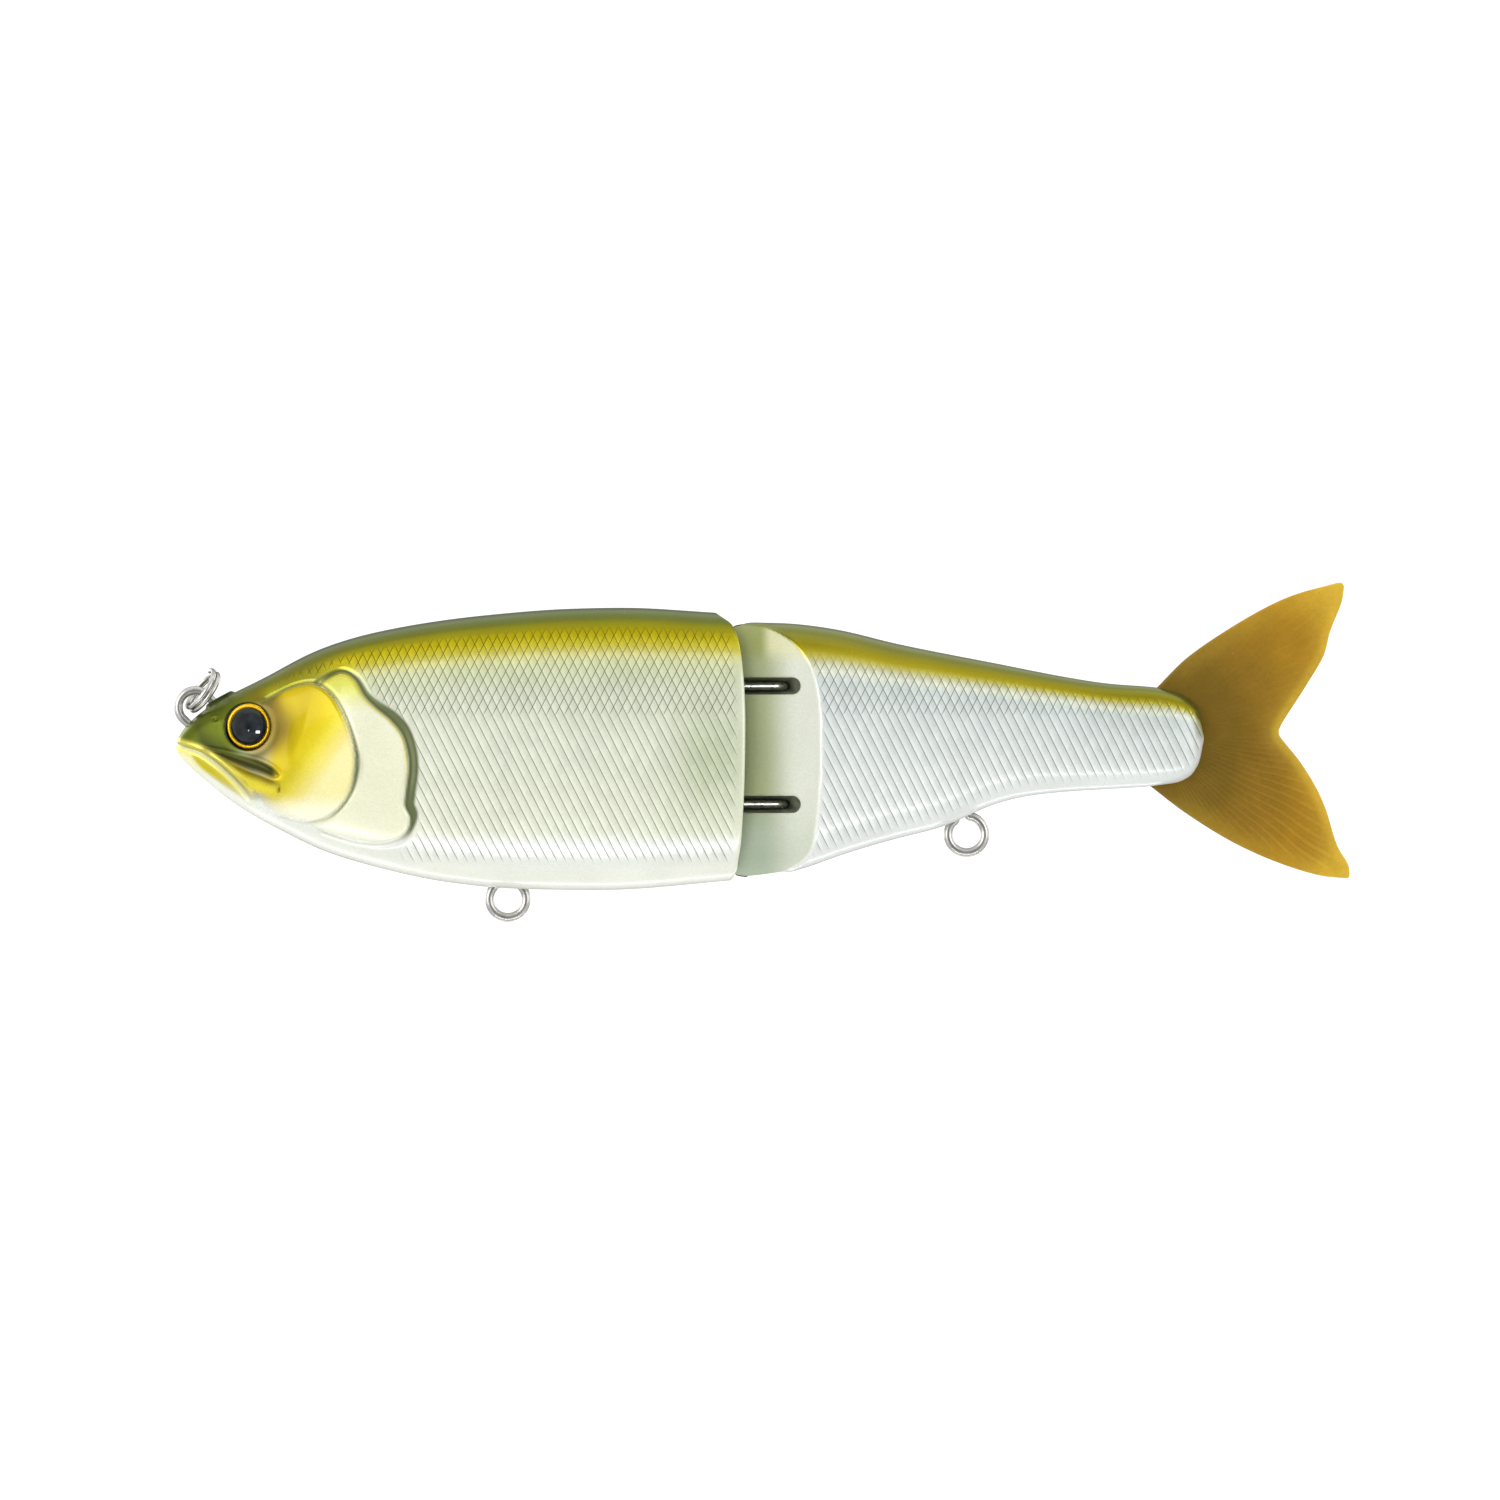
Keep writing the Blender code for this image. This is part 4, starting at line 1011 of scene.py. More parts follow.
BAND_DEPTH = 0.19
FRONT_BANDS = [
    (0.0, "6c7a34"), (0.3, "6a7430"), (0.5, "74740e"), (0.75, "8a8206"), (1.0, "b4a60a"), (1.25, "cabe2c"),
    (1.5, "cec556"), (1.75, "d8d690"), (2.0, "ced3a4"), (2.5, "ced4b4"), (3.2, "d6dbc6"), (5.0, "e2e6d4"),
    (8.0, "e6e9d6"),
]
REAR_BANDS = [
    (0.0, "828a50"), (0.3, "7d8034"), (0.55, "7e791e"), (0.8, "8a8010"), (1.05, "a89a1a"), (1.3, "c4bb52"),
    (1.65, "cecfae"), (1.95, "dadfcc"), (2.4, "cbd3cf"), (3.5, "d4dad8"), (5.5, "dde3e0"), (8.0, "e5e9e6"),
]
# Cheek plate, from its upper front corner to its lower rear one
CHEEK_BANDS = [
    (0.0, "b49e04"), (3.0, "c4ae06"), (5.0, "d4c21e"), (6.5, "e8d848"), (8.5, "eee080"), (10.0, "f2eaa8"),
]


def band_colours(bands, depth):
    """Colours blended between the bands."""
    spots = [place for place, _ in bands]
    colours = np.array([shade(code) for _, code in bands])
    return np.stack([np.interp(depth, spots, colours[:, k]) for k in range(3)], -1)


def flank_coat(x, z, depth, tall):
    """Bands of the front section's flank, fading to cream and white on the belly, with a painted highlight
    band low on the flank and a painted shade patch ahead of the rim: colour and foil.
    """
    colour = band_colours(FRONT_BANDS, depth)
    colour = mixed(colour, "e9ecd8", ease(z, -8, -20) * ease(depth, 3, 5))
    # painted highlight: a near-white band low on the flank
    colour = mixed(colour, "f6f8f6", ease(z, -18.5, -22))
    belly = ease(z, -22.4, -24.5) + ease((z - BELLY["front"](x)) / tall, 0.32, 0.16)
    colour = mixed(colour, "e0e7e6", np.clip(belly, 0, 1))
    # painted shade and reflection: a darker olive patch on the flank ahead of the rim
    colour = mixed(colour, "bcc8a0", 0.7 * (hump(x, 79.5, 6.5) * hump(z, -8, 9)))
    return colour, (0.12 + 0.8 * ease(depth, 2, 1.3)) * ease(z, -25, -23.5)


def cheek_coat(x, z, colour, foil, f, to_corner):
    """Cheek plate: strong yellow, brown shade round the eye, cream towards its lower rear edge, and a
    painted highlight whitening its bottom.
    """
    cheek = band_colours(CHEEK_BANDS, to_corner)
    # painted highlight: the bottom of the cheek whitened
    cheek = mixed(cheek, "fcfae0", ease(z, -13, -16) * 0.8)
    behind_eye = ease(f["eye"], 8.4, 4.8) * ease(x, 8.5, 10) * ease(z, -10, -3)
    cheek = mixed(cheek, "604e00", behind_eye)
    foil = toward(foil, 0.95, behind_eye)
    colour = mixed(colour, cheek, ease(f["cheek"], -0.05, 0.3) * ease(x, 9, 13))
    under_eye = ease(f["eye"], 6.8, 4.2) * ease(x, 7, 10) * ease(z, -11.5, -8)
    return mixed(colour, "6e5c10", under_eye * 0.75), toward(foil, 0.9, under_eye * 0.8)


def plate_coat(x, z, colour, f, around_plate):
    """Opercle, pale yellow at its top golden at its rim, and dark paint in the plates' grooves."""
    plate = mixed("eff0d2", "d2d25a", ease(z, -1.5, 3.6))
    plate = mixed(plate, "bcae1e", 0.9 * hump(f["opercle"], 0.18, 0.28) * ease(z, -14.5, -7))
    colour = mixed(colour, plate, ease(f["opercle"], -0.1, 0.25))
    colour = mixed(colour, "566030", around_plate * ease(z, -21.5, -18.5) * ease(x, 18.5, 21) * 0.95)
    around_cheek = hump(f["cheek"], -0.25, 0.22 + 0.34 * hump(z, -9, 3.5) * ease(x, 22, 24))
    rim_line = mixed("75772c", "4c5826", hump(z, -9, 4.5))
    return mixed(colour, rim_line, around_cheek * ease(z, -18.6, -15.5) * 0.95)


def jaw_coat(x, z, colour, foil, f, over_lip, above_belly):
    """Snout, mouth and jaws."""
    maxilla = ease(f["maxilla"], -0.35, 0.35)
    dark_green = mixed("3e3f0a", "8a8820", ease(x, 2, 0.2))
    below_maxilla = ease(z - (-8.0 - 0.42 * (x - 5.0)), 0.6, -0.6) * ease(x, 3, 6.5) * ease(x, 14, 12)
    jaw = below_maxilla * ease(z - (-12.3 - 0.3 * (x - 8.0)), -1, 0.6)
    jaw = jaw * ease(f["mouth"], 0.5, 1.2)
    colour = mixed(colour, mixed("f0e040", "766608", ease(f["maxilla"], -2, -0.6)), jaw)
    colour = mixed(colour, dark_green, maxilla * ease(x, 13.4, 12))
    colour = mixed(colour, "f2f1c2", ease(over_lip, 0.2, -0.4) * ease(x, 10, 7.5))
    colour = mixed(colour, "e2d21c", ease(f["lip"], -0.25, 0.45))
    colour = mixed(colour, "f0e66a", hump(f["mouth"], 0.6, 0.45) * ease(x, 10.2, 8) * 0.8)
    colour = mixed(colour, "eef0e4", ease(above_belly, 0.36, 0.1) * ease(x, -1, 3))
    colour = mixed(colour, "3a3a20", 0.8 * hump(x, 13.3, 0.16) * hump(z, -12.6, 0.6))
    return colour, toward(foil, 0.8, jaw)


def front_paint(x, y, z):
    """Paint and finish of the front section at its vertices."""
    f = front_fields(x, z)
    tall = outline_at("front", x)[1]
    depth = (BACK["front"](x) - z) / (BAND_DEPTH * tall)
    colour, foil = flank_coat(x, z, depth, tall)
    to_corner = (x - 14.5) * 0.86 - (z + 3.0) * 0.62
    foil = toward(foil, 0.7 - 0.6 * ease(to_corner, 3, 9), ease(f["cheek"], -0.2, 0.4))
    foil = toward(foil, 0.85, ease(f["lip"], -0.2, 0.4))

    # top of the head
    head_top = ease(x, 17, 5)
    over_lip = z - np.interp(x, MOUTH[:, 0], MOUTH[:, 1])
    over_mouth = ease(over_lip, -0.3, 0.5)
    off_cheek = ease(f["cheek"], 0.4, -0.4)
    foil = toward(foil, 0.75, head_top * over_mouth * off_cheek)
    head_green = mixed("2e350a", "58620c", np.maximum(ease(over_lip, 1, 6.5), ease(x, 2, -1)))
    colour = mixed(colour, head_green, head_top * over_mouth * ease(z, -16, -12))
    crown = ease(x, 10, 15) * ease(x, 24, 17) * off_cheek * ease(z, 0.5, 3)
    colour = mixed(colour, "6a6c1c", crown * 0.6)

    colour, foil = cheek_coat(x, z, colour, foil, f, to_corner)
    wide = 0.35 + 0.9 * ease(x, 24, 33) * ease(z, -19.5, -15)
    behind = np.where(f["cheek"] > -0.1, 9.0, -f["opercle"])
    around_plate = ease(behind, wide + 0.5, wide) * ease(behind, -0.25, 0.1)
    colour = plate_coat(x, z, colour, f, around_plate)
    colour, foil = jaw_coat(x, z, colour, foil, f, over_lip, (z - BELLY["front"](x)) / tall)

    # dark ring round the eye socket, painted collar at the line tie, and pale paint along the rim
    colour = mixed(colour, "201f10", ease(f["eye"], 3.86, 3.66))
    colour = mixed(colour, "2c3a0c", ease(collar_distance(x, y, z), 1.7, 1.1))
    colour = mixed(colour, "e2e6ca", ease(f["rim"], 0.9, 0.3) * ease(z, 8, 3) * 0.6)
    gloss = 0.06 + 0.2 * ease(depth, 1.4, 2.4) * (1 - head_top) + 0.04 * ease(f["cheek"], 0, 0.5)
    return {
        "paint": colour,
        "foil": foil,
        "gloss": gloss * (1 - 0.8 * around_plate),
        "matte": 0.35 * np.maximum(head_top, ease(f["cheek"], -0.2, 0.6)),
        "down_lines": f["down_lines"],
        "up_lines": f["up_lines"],
        "specks": ease(depth, 2, 0.8) * ease(x, 10, 20),
    }


def rear_paint(x, y, z):
    """Paint and finish of the rear section at its vertices."""
    f = rear_fields(x, z)
    spread = 1 + 0.15 * ease(x, 112, 130) + 0.2 * ease(x, 130, 148)
    depth = f["depth"] / (BAND_DEPTH * spread * f["tall"])
    belly = ease(f["rise"] / f["tall"], 0.34, 0.14)
    colour = mixed(band_colours(REAR_BANDS, depth), "e6eae6", belly)
    foil = (0.08 + 0.72 * ease(depth, 1.9, 1.2)) * (1 - 0.6 * belly)
    colour = mixed(colour, "8c8a3c", ease(x, 152.4, 154.3) * ease(depth, 6, 1))

    # matte knuckle: olive in the shade of the rim, cream towards the edge of the paint
    in_shade = ease(x, 92.8, 86.8)
    knuckle = mixed("d8dbcc", "9ea67e", in_shade)
    knuckle = mixed(knuckle, mixed("d2d8c6", "a9b69e", in_shade), ease(z, -13, -20))
    knuckle_top = mixed("8e9448", "dedcac", ease(x, 86.6, 88.6))
    knuckle = mixed(knuckle, knuckle_top, ease(z, 6, 9.5) * 0.7)
    colour = mixed(knuckle, colour, ease(f["painted"], -0.12, 0.12))
    # painted highlight: a pale line along the step at the edge of the paint
    colour = mixed(colour, "f0f2e8", hump(f["painted"], 0.12, 0.2) * ease(z, 6, 2))
    # painted shade: the inside of the slots darkened
    colour = mixed(colour, "4a4f36", ease(slot_distance(x, z), 0.02, -0.25) * ease(x, 93.2, 92.6))
    matte = ease(f["painted"], 0.1, -0.1)
    return {
        "paint": colour,
        "foil": foil * (1 - matte),
        "gloss": (0.06 + 0.2 * ease(depth, 1.4, 2.4)) * (1 - matte),
        "matte": matte,
        "down_lines": f["down_lines"],
        "up_lines": f["up_lines"],
        "specks": ease(depth, 2, 0.8) * (1 - matte),
    }


def paint_piece(piece, painter):
    places = vertices_of(piece.data)
    for name, values in painter(places[:, 0], np.abs(places[:, 1]), places[:, 2]).items():
        write_attribute(piece.data, name, values)


def build_shells():
    front = painted_shell_material("front_shell_paint", "60664c", 0.08)
    rear = painted_shell_material("rear_shell_paint", "737a70", 0.12)
    front_skin = front_grid()
    rear_skin = rear_grid()
    for word, side in SIDES.items():
        verts, faces = close_half(front_skin, side)
        piece = new_piece(f"front_body_{word}", verts, faces, "front_section", front)
        cut(piece, [cup_cutter(), eye_socket_cutter(side)])
        paint_piece(piece, front_paint)
        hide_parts(f"front_shell_{word}")
        verts, faces = close_half(rear_skin, side)
        piece = new_piece(f"rear_body_{word}", verts, faces, "rear_section", rear)
        cut(piece, slot_cutters())
        paint_piece(piece, rear_paint)
        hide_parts(f"rear_shell_{word}")


# ==== Wires ====


def line_tie_path():
    along = np.array([LINE_TIE_SHANK[0], 0.0, LINE_TIE_SHANK[1]])
    along /= np.linalg.norm(along)
    across = np.array([-along[2], 0.0, along[0]])
    shares = np.linspace(1, 0, 24)[:-1, None]
    entry = across * LINE_TIE_RADIUS + along * LINE_TIE_SHANK_LENGTH * shares
    angles = np.linspace(0, math.pi, 72)[:, None]
    bow = (across * np.cos(angles) - along * np.sin(angles)) * LINE_TIE_RADIUS
    leave = along * LINE_TIE_SHANK_LENGTH * shares[::-1] - across * LINE_TIE_RADIUS
    return np.vstack([entry, bow, leave])


def hook_eye_path(x, z, shank, lean):
    """Centreline of a hook eye: a ring under the belly whose shanks rise and turn apart."""
    gap_angle = math.asin(HOOK_EYE_NECK / (HOOK_EYE_RADIUS * 1.35))
    foot = [
        (-HOOK_EYE_NECK - HOOK_EYE_FOOT, shank),
        (-HOOK_EYE_NECK - 0.3, shank),
        (-HOOK_EYE_NECK, shank - 0.4),
        (-HOOK_EYE_NECK, HOOK_EYE_RADIUS + 0.9),
    ]
    angles = np.linspace(math.pi / 2 + 1.5 * gap_angle, 2.5 * math.pi - 1.5 * gap_angle, 96)
    ring = np.stack([np.cos(angles), np.sin(angles)], 1) * HOOK_EYE_RADIUS
    line = curve_points(np.vstack([foot, ring[::6], ring[-1:], [(-a, b) for a, b in reversed(foot)]]), 8)
    turn = np.array([[math.cos(lean), -math.sin(lean)], [math.sin(lean), math.cos(lean)]])
    turned = line @ turn.T
    return np.stack([turned[:, 0] + x, np.zeros(len(line)), turned[:, 1] + z], 1)


def joint_loop_path(z):
    angles = np.linspace(math.pi / 2, -math.pi / 2, 48)
    bow = [(PIN_X + LOOP_RADIUS * math.cos(a), LOOP_RADIUS * math.sin(a), z) for a in angles]
    bend = [(0.0, LOOP_CLINCH), (0.0, 0.9), (0.15, 0.35), (0.4, 0.08)]
    leg = [(LOOP_ROOT_X + along, LOOP_RADIUS, z - drop) for along, drop in bend]
    leg += [(x, LOOP_RADIUS, z) for x in np.linspace(LOOP_ROOT_X + 0.8, PIN_X, 60)[:-1]]
    return np.vstack([leg, bow, (np.array(leg) * (1, -1, 1))[::-1]])


def split_ring_path():
    up = np.array([RING_UP[0], 0.0, RING_UP[1]])
    up /= np.linalg.norm(up)
    side = np.array([0.0, 1.0, 0.0])
    axis = np.cross(up, side)
    turn = np.array(Matrix.Rotation(RING_LEAN, 3, Vector(up)))
    share = np.linspace(0, 1, 420)[:, None]
    angle = 2 * math.pi * RING_TURNS * share + math.pi / 3
    flat = (up * np.cos(angle) + side * np.sin(angle)) * RING_RADIUS
    rise = axis * (RING_PITCH * RING_TURNS * (share - 0.5))
    return np.array([RING_CENTRE[0], 0.0, RING_CENTRE[1]]) + (flat + rise) @ turn.T


def build_wires():
    steel = steel_material("stainless_wire", (0.62, 0.61, 0.58), 0.22, 0.34)
    tie = swept_wire("line_tie_wire", line_tie_path(), LINE_TIE_WIRE, "front_section", steel)
    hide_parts("line_tie_eye")
    ring = swept_wire("split_ring_wire", split_ring_path(), RING_WIRE, "ring", steel, 20)
    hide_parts("split_ring")
    for word, spot in HOOK_EYES.items():
        path, body = hook_eye_path(*spot), f"{word}_section"
        hook = swept_wire(f"{word}_hook_wire", path, HOOK_EYE_WIRE, body, steel)
        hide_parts(f"{word}_hook_hanger")
    for word, height in SLOT_HEIGHTS.items():
        loop = swept_wire(f"{word}_loop_wire", joint_loop_path(height), LOOP_WIRE, "front_section", steel)
        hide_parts(f"{word}_joint_loop")


# ==== Eyes ====


def eye_foil_profile(low, top):
    crest = [(2.8, -0.02), (2.95, 0.06), (3.1, 0.1), (3.25, 0.08), (3.38, 0.01), (3.46, -0.08)]
    profile = [(0.02, top - 0.1), (2.7, top - 0.1)] + [(radius, top + rise) for radius, rise in crest]
    profile += [(EYE_FOIL_RADIUS, top - 0.15), (EYE_FOIL_RADIUS, low + 0.04)]
    return profile + [(3.45, low), (0.02, low)]


def eye_dome_profile(rim=0.25, steps=39):
    sphere = (EYE_DOME_RADIUS**2 + EYE_DOME_HEIGHT**2) / (2 * EYE_DOME_HEIGHT)
    widest = math.asin(EYE_DOME_RADIUS / sphere)
    profile = []
    for k in range(steps + 1):
        angle = widest * k / steps
        height = rim + EYE_DOME_HEIGHT - sphere * (1 - math.cos(angle))
        profile.append((max(sphere * math.sin(angle), 0.01), height))
    profile += [(EYE_DOME_RADIUS, rim * 0.5), (EYE_DOME_RADIUS - 0.03, 0.03)]
    return profile + [(EYE_DOME_RADIUS - 0.1, 0.0), (0.02, 0.0)]


def build_eyes():
    foil = eye_foil_material()
    dome = eye_dome_material()
    low = 0.1 - EYE_SOCKET_DEPTH
    top = low + EYE_FOIL_THICKNESS
    lift = Matrix.Translation((0.0, 0.0, top + 0.1))
    for word, side in SIDES.items():
        place = eye_frame(side)
        verts, faces = turned_mesh(eye_foil_profile(low, top), 144, place)
        piece = new_piece(f"eye_foil_{word}", verts, faces, "front_section", foil)
        inverse = np.array(place.inverted())
        local = verts @ inverse[:3, :3].T + inverse[:3, 3]
        write_attribute(piece.data, "foil_radius", np.hypot(local[:, 0], local[:, 1]))
        write_attribute(piece.data, "foil_angle", np.abs(np.arctan2(local[:, 1], local[:, 0])))
        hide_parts(f"{word}_eye_foil")
        verts, faces = turned_mesh(eye_dome_profile(), 144, place @ lift)
        piece = new_piece(f"eye_dome_{word}", verts, faces, "front_section", dome)
        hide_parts(f"{word}_eye_dome")


# ==== Tail ====


def crowded_shares(count, crowd):
    """Shares from 0 to 1, drawn by crowd towards both ends."""
    share = np.linspace(0, 1, count)
    return share + crowd * (0.5 - 0.5 * np.cos(math.pi * share) - share)


def spaced(line, shares):
    """Points along a line at shares of its length."""
    length = np.concatenate([[0], np.cumsum(np.linalg.norm(np.diff(line, axis=0), axis=1))])
    return np.stack([np.interp(shares * length[-1], length, line[:, k]) for k in range(2)], 1)


def tail_patch():
    """A grid of points over the tail's outline, from its root to its trailing edge."""
    u = crowded_shares(TAIL_ROWS, 0.55)
    v = crowded_shares(TAIL_COLUMNS, 0.5)
    top = spaced(curve_points(TAIL_TOP_EDGE), u)
    low = spaced(curve_points(TAIL_LOW_EDGE)[::-1], u)
    trailing = [curve_points(line) for line in (TAIL_TOP_TIP, TAIL_TRAILING, TAIL_LOW_TIP)]
    end = spaced(np.vstack(trailing), v)
    root = spaced(np.array([top[0], low[0]]), v)
    u, v = u[:, None, None], v[None, :, None]
    ruled = top[:, None] * (1 - v) + low[:, None] * v + root[None] * (1 - u) + end[None] * u
    corners = (top[0] * (1 - u) + end[0] * u) * (1 - v) + (low[0] * (1 - u) + end[-1] * u) * v
    return ruled - corners


def tail_relief(x, z, away):
    """Half thickness of the tail with its rays, and the painted highlight on their ridges and painted
    shade between them.
    """
    reach = np.hypot(x - TAIL_FAN[0], z - TAIL_FAN[1])
    angle = np.arctan2(z - TAIL_FAN[1], x - TAIL_FAN[0])
    edge_share = np.clip(away / TAIL_ROUNDING, 0, 1)
    thin = 1 - 0.62 * ease(reach, 9, 34)
    thickness = TAIL_HALF_THICKNESS * thin * np.sqrt(1 - (1 - edge_share) ** 2)
    thickness *= 0.72 + 0.28 * ease(away, 0, 3.5)
    count = angle * TAIL_RAYS + 0.35 * np.sin(angle * 7.0) + 0.12 * np.sin(reach * 0.5)
    fork = count * 2
    ridge = ease(np.abs(count - np.round(count)) * 2, 0.55, 0)
    minor = ease(np.abs(fork - np.round(fork)) * 2, 0.5, 0) * ease(reach, 15, 20)
    strength = (0.35 + 0.65 * ease(angle, 0.15, -0.25)) * ease(away, 0.4, 3) * ease(reach, 6, 10)
    thickness = thickness + (0.075 * ridge + 0.03 * minor) * strength
    # painted highlight on the ridges of the rays and painted shade between them
    return thickness, (0.12 * ridge + 0.05 * minor - 0.08) * strength


def tail_colour(reach, away, behind):
    """Brown at the root, gold outwards and along the edges."""
    gold = "d6b63a"
    colour = mixed("785e14", "94701a", ease(reach, 12, 19) * 0.8)
    colour = mixed(colour, "aa801a", ease(reach, 18, 27) * 0.95)
    colour = mixed(colour, gold, ease(reach, 27, 37) * 0.8)
    colour = mixed(colour, gold, ease(away, 4, 0.5) * ease(reach, 8, 14) * 0.17)
    return mixed(colour, gold, ease(behind, 1.8, 0.4) * 0.45)


def build_tail():
    """The soft tail as one skin over both CAD nodes; its two faces share the vertices along its edges."""
    grid = tail_patch()
    x, z = grid[..., 0], grid[..., 1]
    edge = np.vstack([grid[:, 0], grid[-1], grid[::-1, -1]])
    away = distance_to(x, z, edge[:: max(1, len(edge) // 260)])
    away[:, 0] = away[:, -1] = away[-1] = 0.0
    thickness, tone = tail_relief(x, z, away)
    thickness[0] *= TAIL_ROOT_SHARE
    index = np.arange(x.size).reshape(x.shape)
    shared = np.zeros(x.shape, bool)
    shared[:, 0] = shared[:, -1] = shared[-1] = True
    extra = index[~shared]
    far = index.copy()
    far[~shared] = x.size + np.arange(len(extra))
    near = np.stack([x, np.where(shared, 0.0, -thickness), z], -1).reshape(-1, 3)
    verts = np.vstack([near, near[extra] * (1, -1, 1)])
    faces = grid_faces(*x.shape)
    faces += far.ravel()[np.array(grid_faces(*x.shape, flip=True))].tolist()
    faces.append(index[0, ::-1].tolist() + far[0, 1:-1].tolist())
    piece = new_piece("tail_soft", verts, faces, None, soft_tail_material())

    def both(values):
        """Values at the near face's vertices, and at those that only the far face has."""
        return np.concatenate([values.ravel(), values.ravel()[extra]])

    reach = np.hypot(x - TAIL_FAN[0], z - TAIL_FAN[1])
    behind = distance_to(x, z, grid[-1, ::3])
    write_attribute(piece.data, "paint", tail_colour(both(reach), both(away), both(behind)))
    write_attribute(piece.data, "ray_highlight_and_shade", both(tone))
    rest = piece.data.attributes.new("rest_place", "FLOAT_VECTOR", "POINT")
    rest.data.foreach_set("vector", verts.astype(np.float32).ravel())
    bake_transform(piece)
    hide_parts("tail_root", "tail_fin")


# ==== Hidden CAD pieces that are carried over ====


def finish_cad_nodes():
    """Gives the carried-over nodes inside the shells their finished materials."""
    polished = steel_material("polished_pin", (0.72, 0.72, 0.71), 0.14, 0.28)
    ballast = ballast_material()
    for name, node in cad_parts.items():
        if node.hide_render:
            continue
        node.data.materials.clear()
        node.data.materials.append(polished if "pin" in name else ballast)


# ==== Studio ====

low_corner, high_corner = (np.array(corner) for corner in CAD_BOX)
LENGTH = high_corner[0] - low_corner[0]
CENTRE = (low_corner + high_corner) / 2
FRAME_WIDTH = 1.2752 * LENGTH
CAMERA_DISTANCE = 8.3 * LENGTH
SENSOR = 36.0
TENT_LEVEL = 0.95
OPENING_LEVEL = 0.28
BELOW_SHARE = 0.75

# Soft boxes of one flank: degrees towards the tail and up, distance, width and height in metres, power in
# watts, and what they light: all but the eye domes, only the domes, or only the joint's wire loops
FLANK_LIGHTS = {
    "key_ahead": (-50, 12, 0.8, 0.5, 0.6, 2.4, "body"),
    "key_behind": (50, 12, 0.8, 0.5, 0.6, 1.6, "body"),
    "low_strip": (0, -56, 0.6, 0.9, 0.05, 0.9, "body"),
    "catch": (33, -30, 0.5, 0.22, 0.14, 4.4, "domes"),
    "small_catch": (-22, -20, 0.5, 0.06, 0.06, 0.264, "domes"),
    "slot_glint": (14, 0, 0.6, 0.2, 0.3, 2.4, "loops"),
}
OVERHEAD_LIGHT = (0, 89, 0.7, 0.9, 0.3, 0.4)

FLOOR_DROP = 92.0
FLOOR_RADIUS = 1400.0
FLOOR_CURVE = 1600.0
BACKDROP_TOP = 4000.0


def build_camera():
    camera = bpy.data.cameras.new("camera")
    camera.sensor_width = SENSOR
    camera.lens = SENSOR * CAMERA_DISTANCE / FRAME_WIDTH
    camera.clip_start = 0.05
    made = new_object("camera", camera)
    made.location = (CENTRE[0] - 0.0104 * LENGTH, -CAMERA_DISTANCE, CENTRE[2] + 0.0018 * LENGTH)
    made.rotation_euler = (math.pi / 2, 0, 0)
    bpy.context.scene.camera = made


def build_world():
    """A white tent with an opening straight out from each flank, and a little weaker below."""
    world = bpy.data.worlds.new("studio")
    bpy.context.scene.world = world
    graph = Graph(world, "Background")
    parts = graph.add("ShaderNodeSeparateXYZ", {0: graph.add("ShaderNodeTexCoord").outputs["Generated"]})
    sideways = graph.math("ABSOLUTE", parts.outputs["Y"])
    opening = graph.remap(sideways, 0.70, 0.95, TENT_LEVEL, OPENING_LEVEL)
    height = graph.remap(parts.outputs["Z"], -1.0, 0.6, BELOW_SHARE, 1.0)
    graph.finish(Strength=graph.times(opening, height), Color=(1.0, 1.0, 1.0, 1.0))


def area_light(name, azimuth, elevation, distance, width, height, power):
    """A soft box that faces the bait; azimuth 0 is straight out from the left flank."""
    light = bpy.data.lights.new(name, "AREA")
    light.shape = "RECTANGLE"
    light.size = width
    light.size_y = height
    light.energy = power
    made = new_object(name, light)
    turn, rise = math.radians(azimuth), math.radians(elevation)
    out = Vector((math.sin(turn) * math.cos(rise), -math.cos(turn) * math.cos(rise), math.sin(rise)))
    made.location = Vector(CENTRE) + out * distance
    made.rotation_euler = (math.pi / 2 - rise, 0.0, turn)
    made.visible_camera = False
    return made


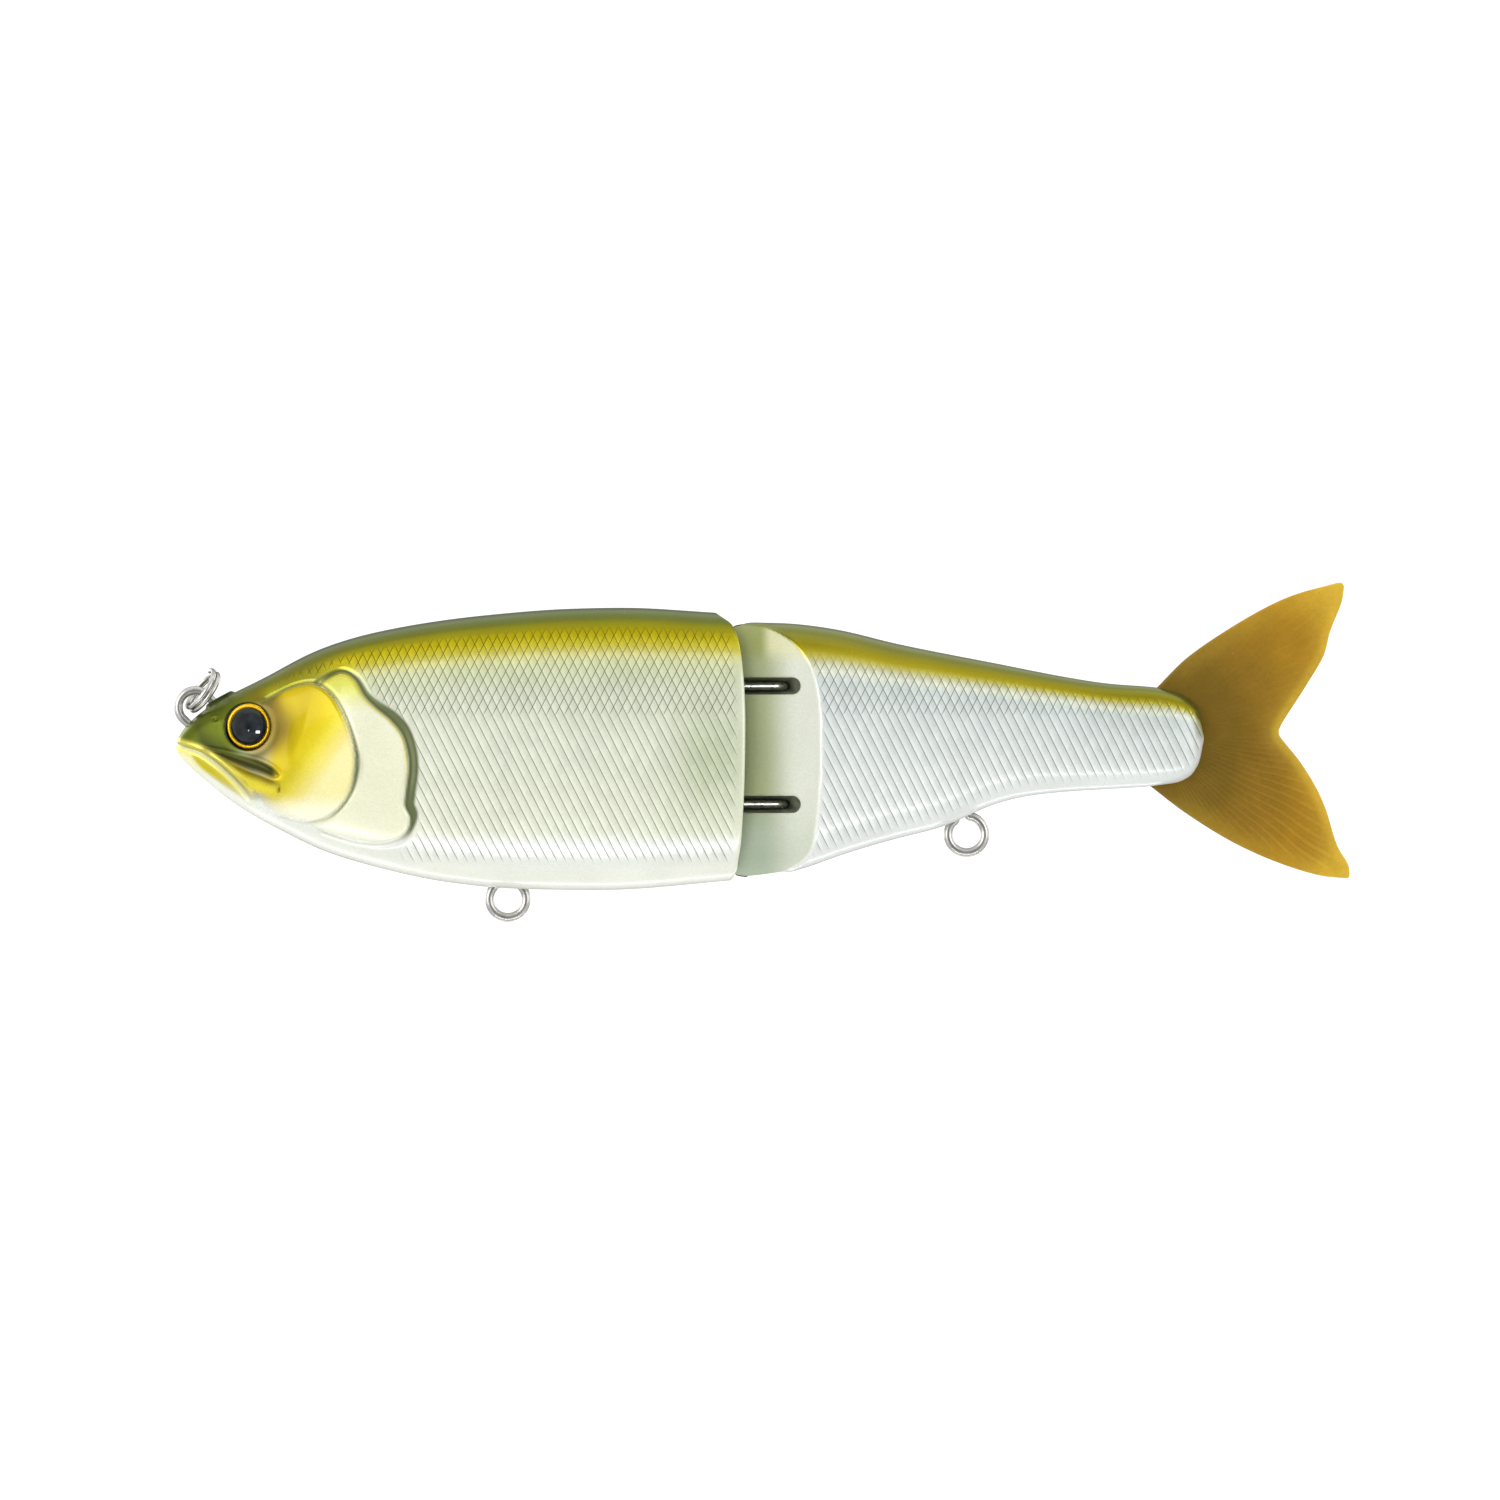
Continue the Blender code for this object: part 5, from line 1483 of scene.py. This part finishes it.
def link_light(light, pieces, state):
    """Makes a light fall only on some pieces (INCLUDE) or on all but them (EXCLUDE)."""
    chosen = bpy.data.collections.new(f"{light.name}_receivers")
    for piece in pieces:
        chosen.objects.link(piece)
    for entry in chosen.collection_objects:
        entry.light_linking.link_state = state
    light.light_linking.receiver_collection = chosen


def build_lights():
    """Soft boxes for each flank and overhead, and small ones that only glint on the eyes and the loops."""
    domes = [bpy.data.objects[f"eye_dome_{word}"] for word in SIDES]
    loops = [bpy.data.objects[f"{word}_loop_wire"] for word in SLOT_HEIGHTS]
    reached = {"body": (domes, "EXCLUDE"), "domes": (domes, "INCLUDE"), "loops": (loops, "INCLUDE")}
    for word in SIDES:
        for name, (tailward, *box, group) in FLANK_LIGHTS.items():
            azimuth = tailward if word == "left" else 180 - tailward
            link_light(area_light(f"{word}_{name}", azimuth, *box), *reached[group])
    area_light("overhead", *OVERHEAD_LIGHT)


def build_floor():
    """A pale floor that curves up into an even backdrop all round."""
    graph = Graph(bpy.data.materials.new("studio_white"))
    haze = graph.noise(graph.places(), 0.02, 2.0)
    white = graph.mix(graph.middle(haze), rgba("eaeaea"), rgba("ececec"))
    mat = graph.finish(Base_Color=white, Roughness=0.9, Emission_Color=(1, 1, 1, 1), Emission_Strength=0.4)
    floor_z = low_corner[2] / MM - FLOOR_DROP
    profile = [(0.02, floor_z), (FLOOR_RADIUS, floor_z)]
    for angle in np.linspace(0, math.pi / 2, 24)[1:]:
        out, up = math.sin(angle), 1 - math.cos(angle)
        profile.append((FLOOR_RADIUS + FLOOR_CURVE * out, floor_z + FLOOR_CURVE * up))
    profile.append((FLOOR_RADIUS + FLOOR_CURVE, BACKDROP_TOP))
    verts, faces = turned_mesh(profile, 96)
    floor = new_piece("studio_floor", verts, faces[:-1], None, mat)
    floor.location = (CENTRE[0], 0, 0)
    for rays in ("diffuse", "glossy", "transmission", "shadow"):
        setattr(floor, f"visible_{rays}", False)


bpy.context.scene.view_settings.view_transform = "Standard"
build_camera()
build_world()
build_floor()
build_shells()
build_wires()
build_eyes()
build_tail()
build_lights()
finish_cad_nodes()
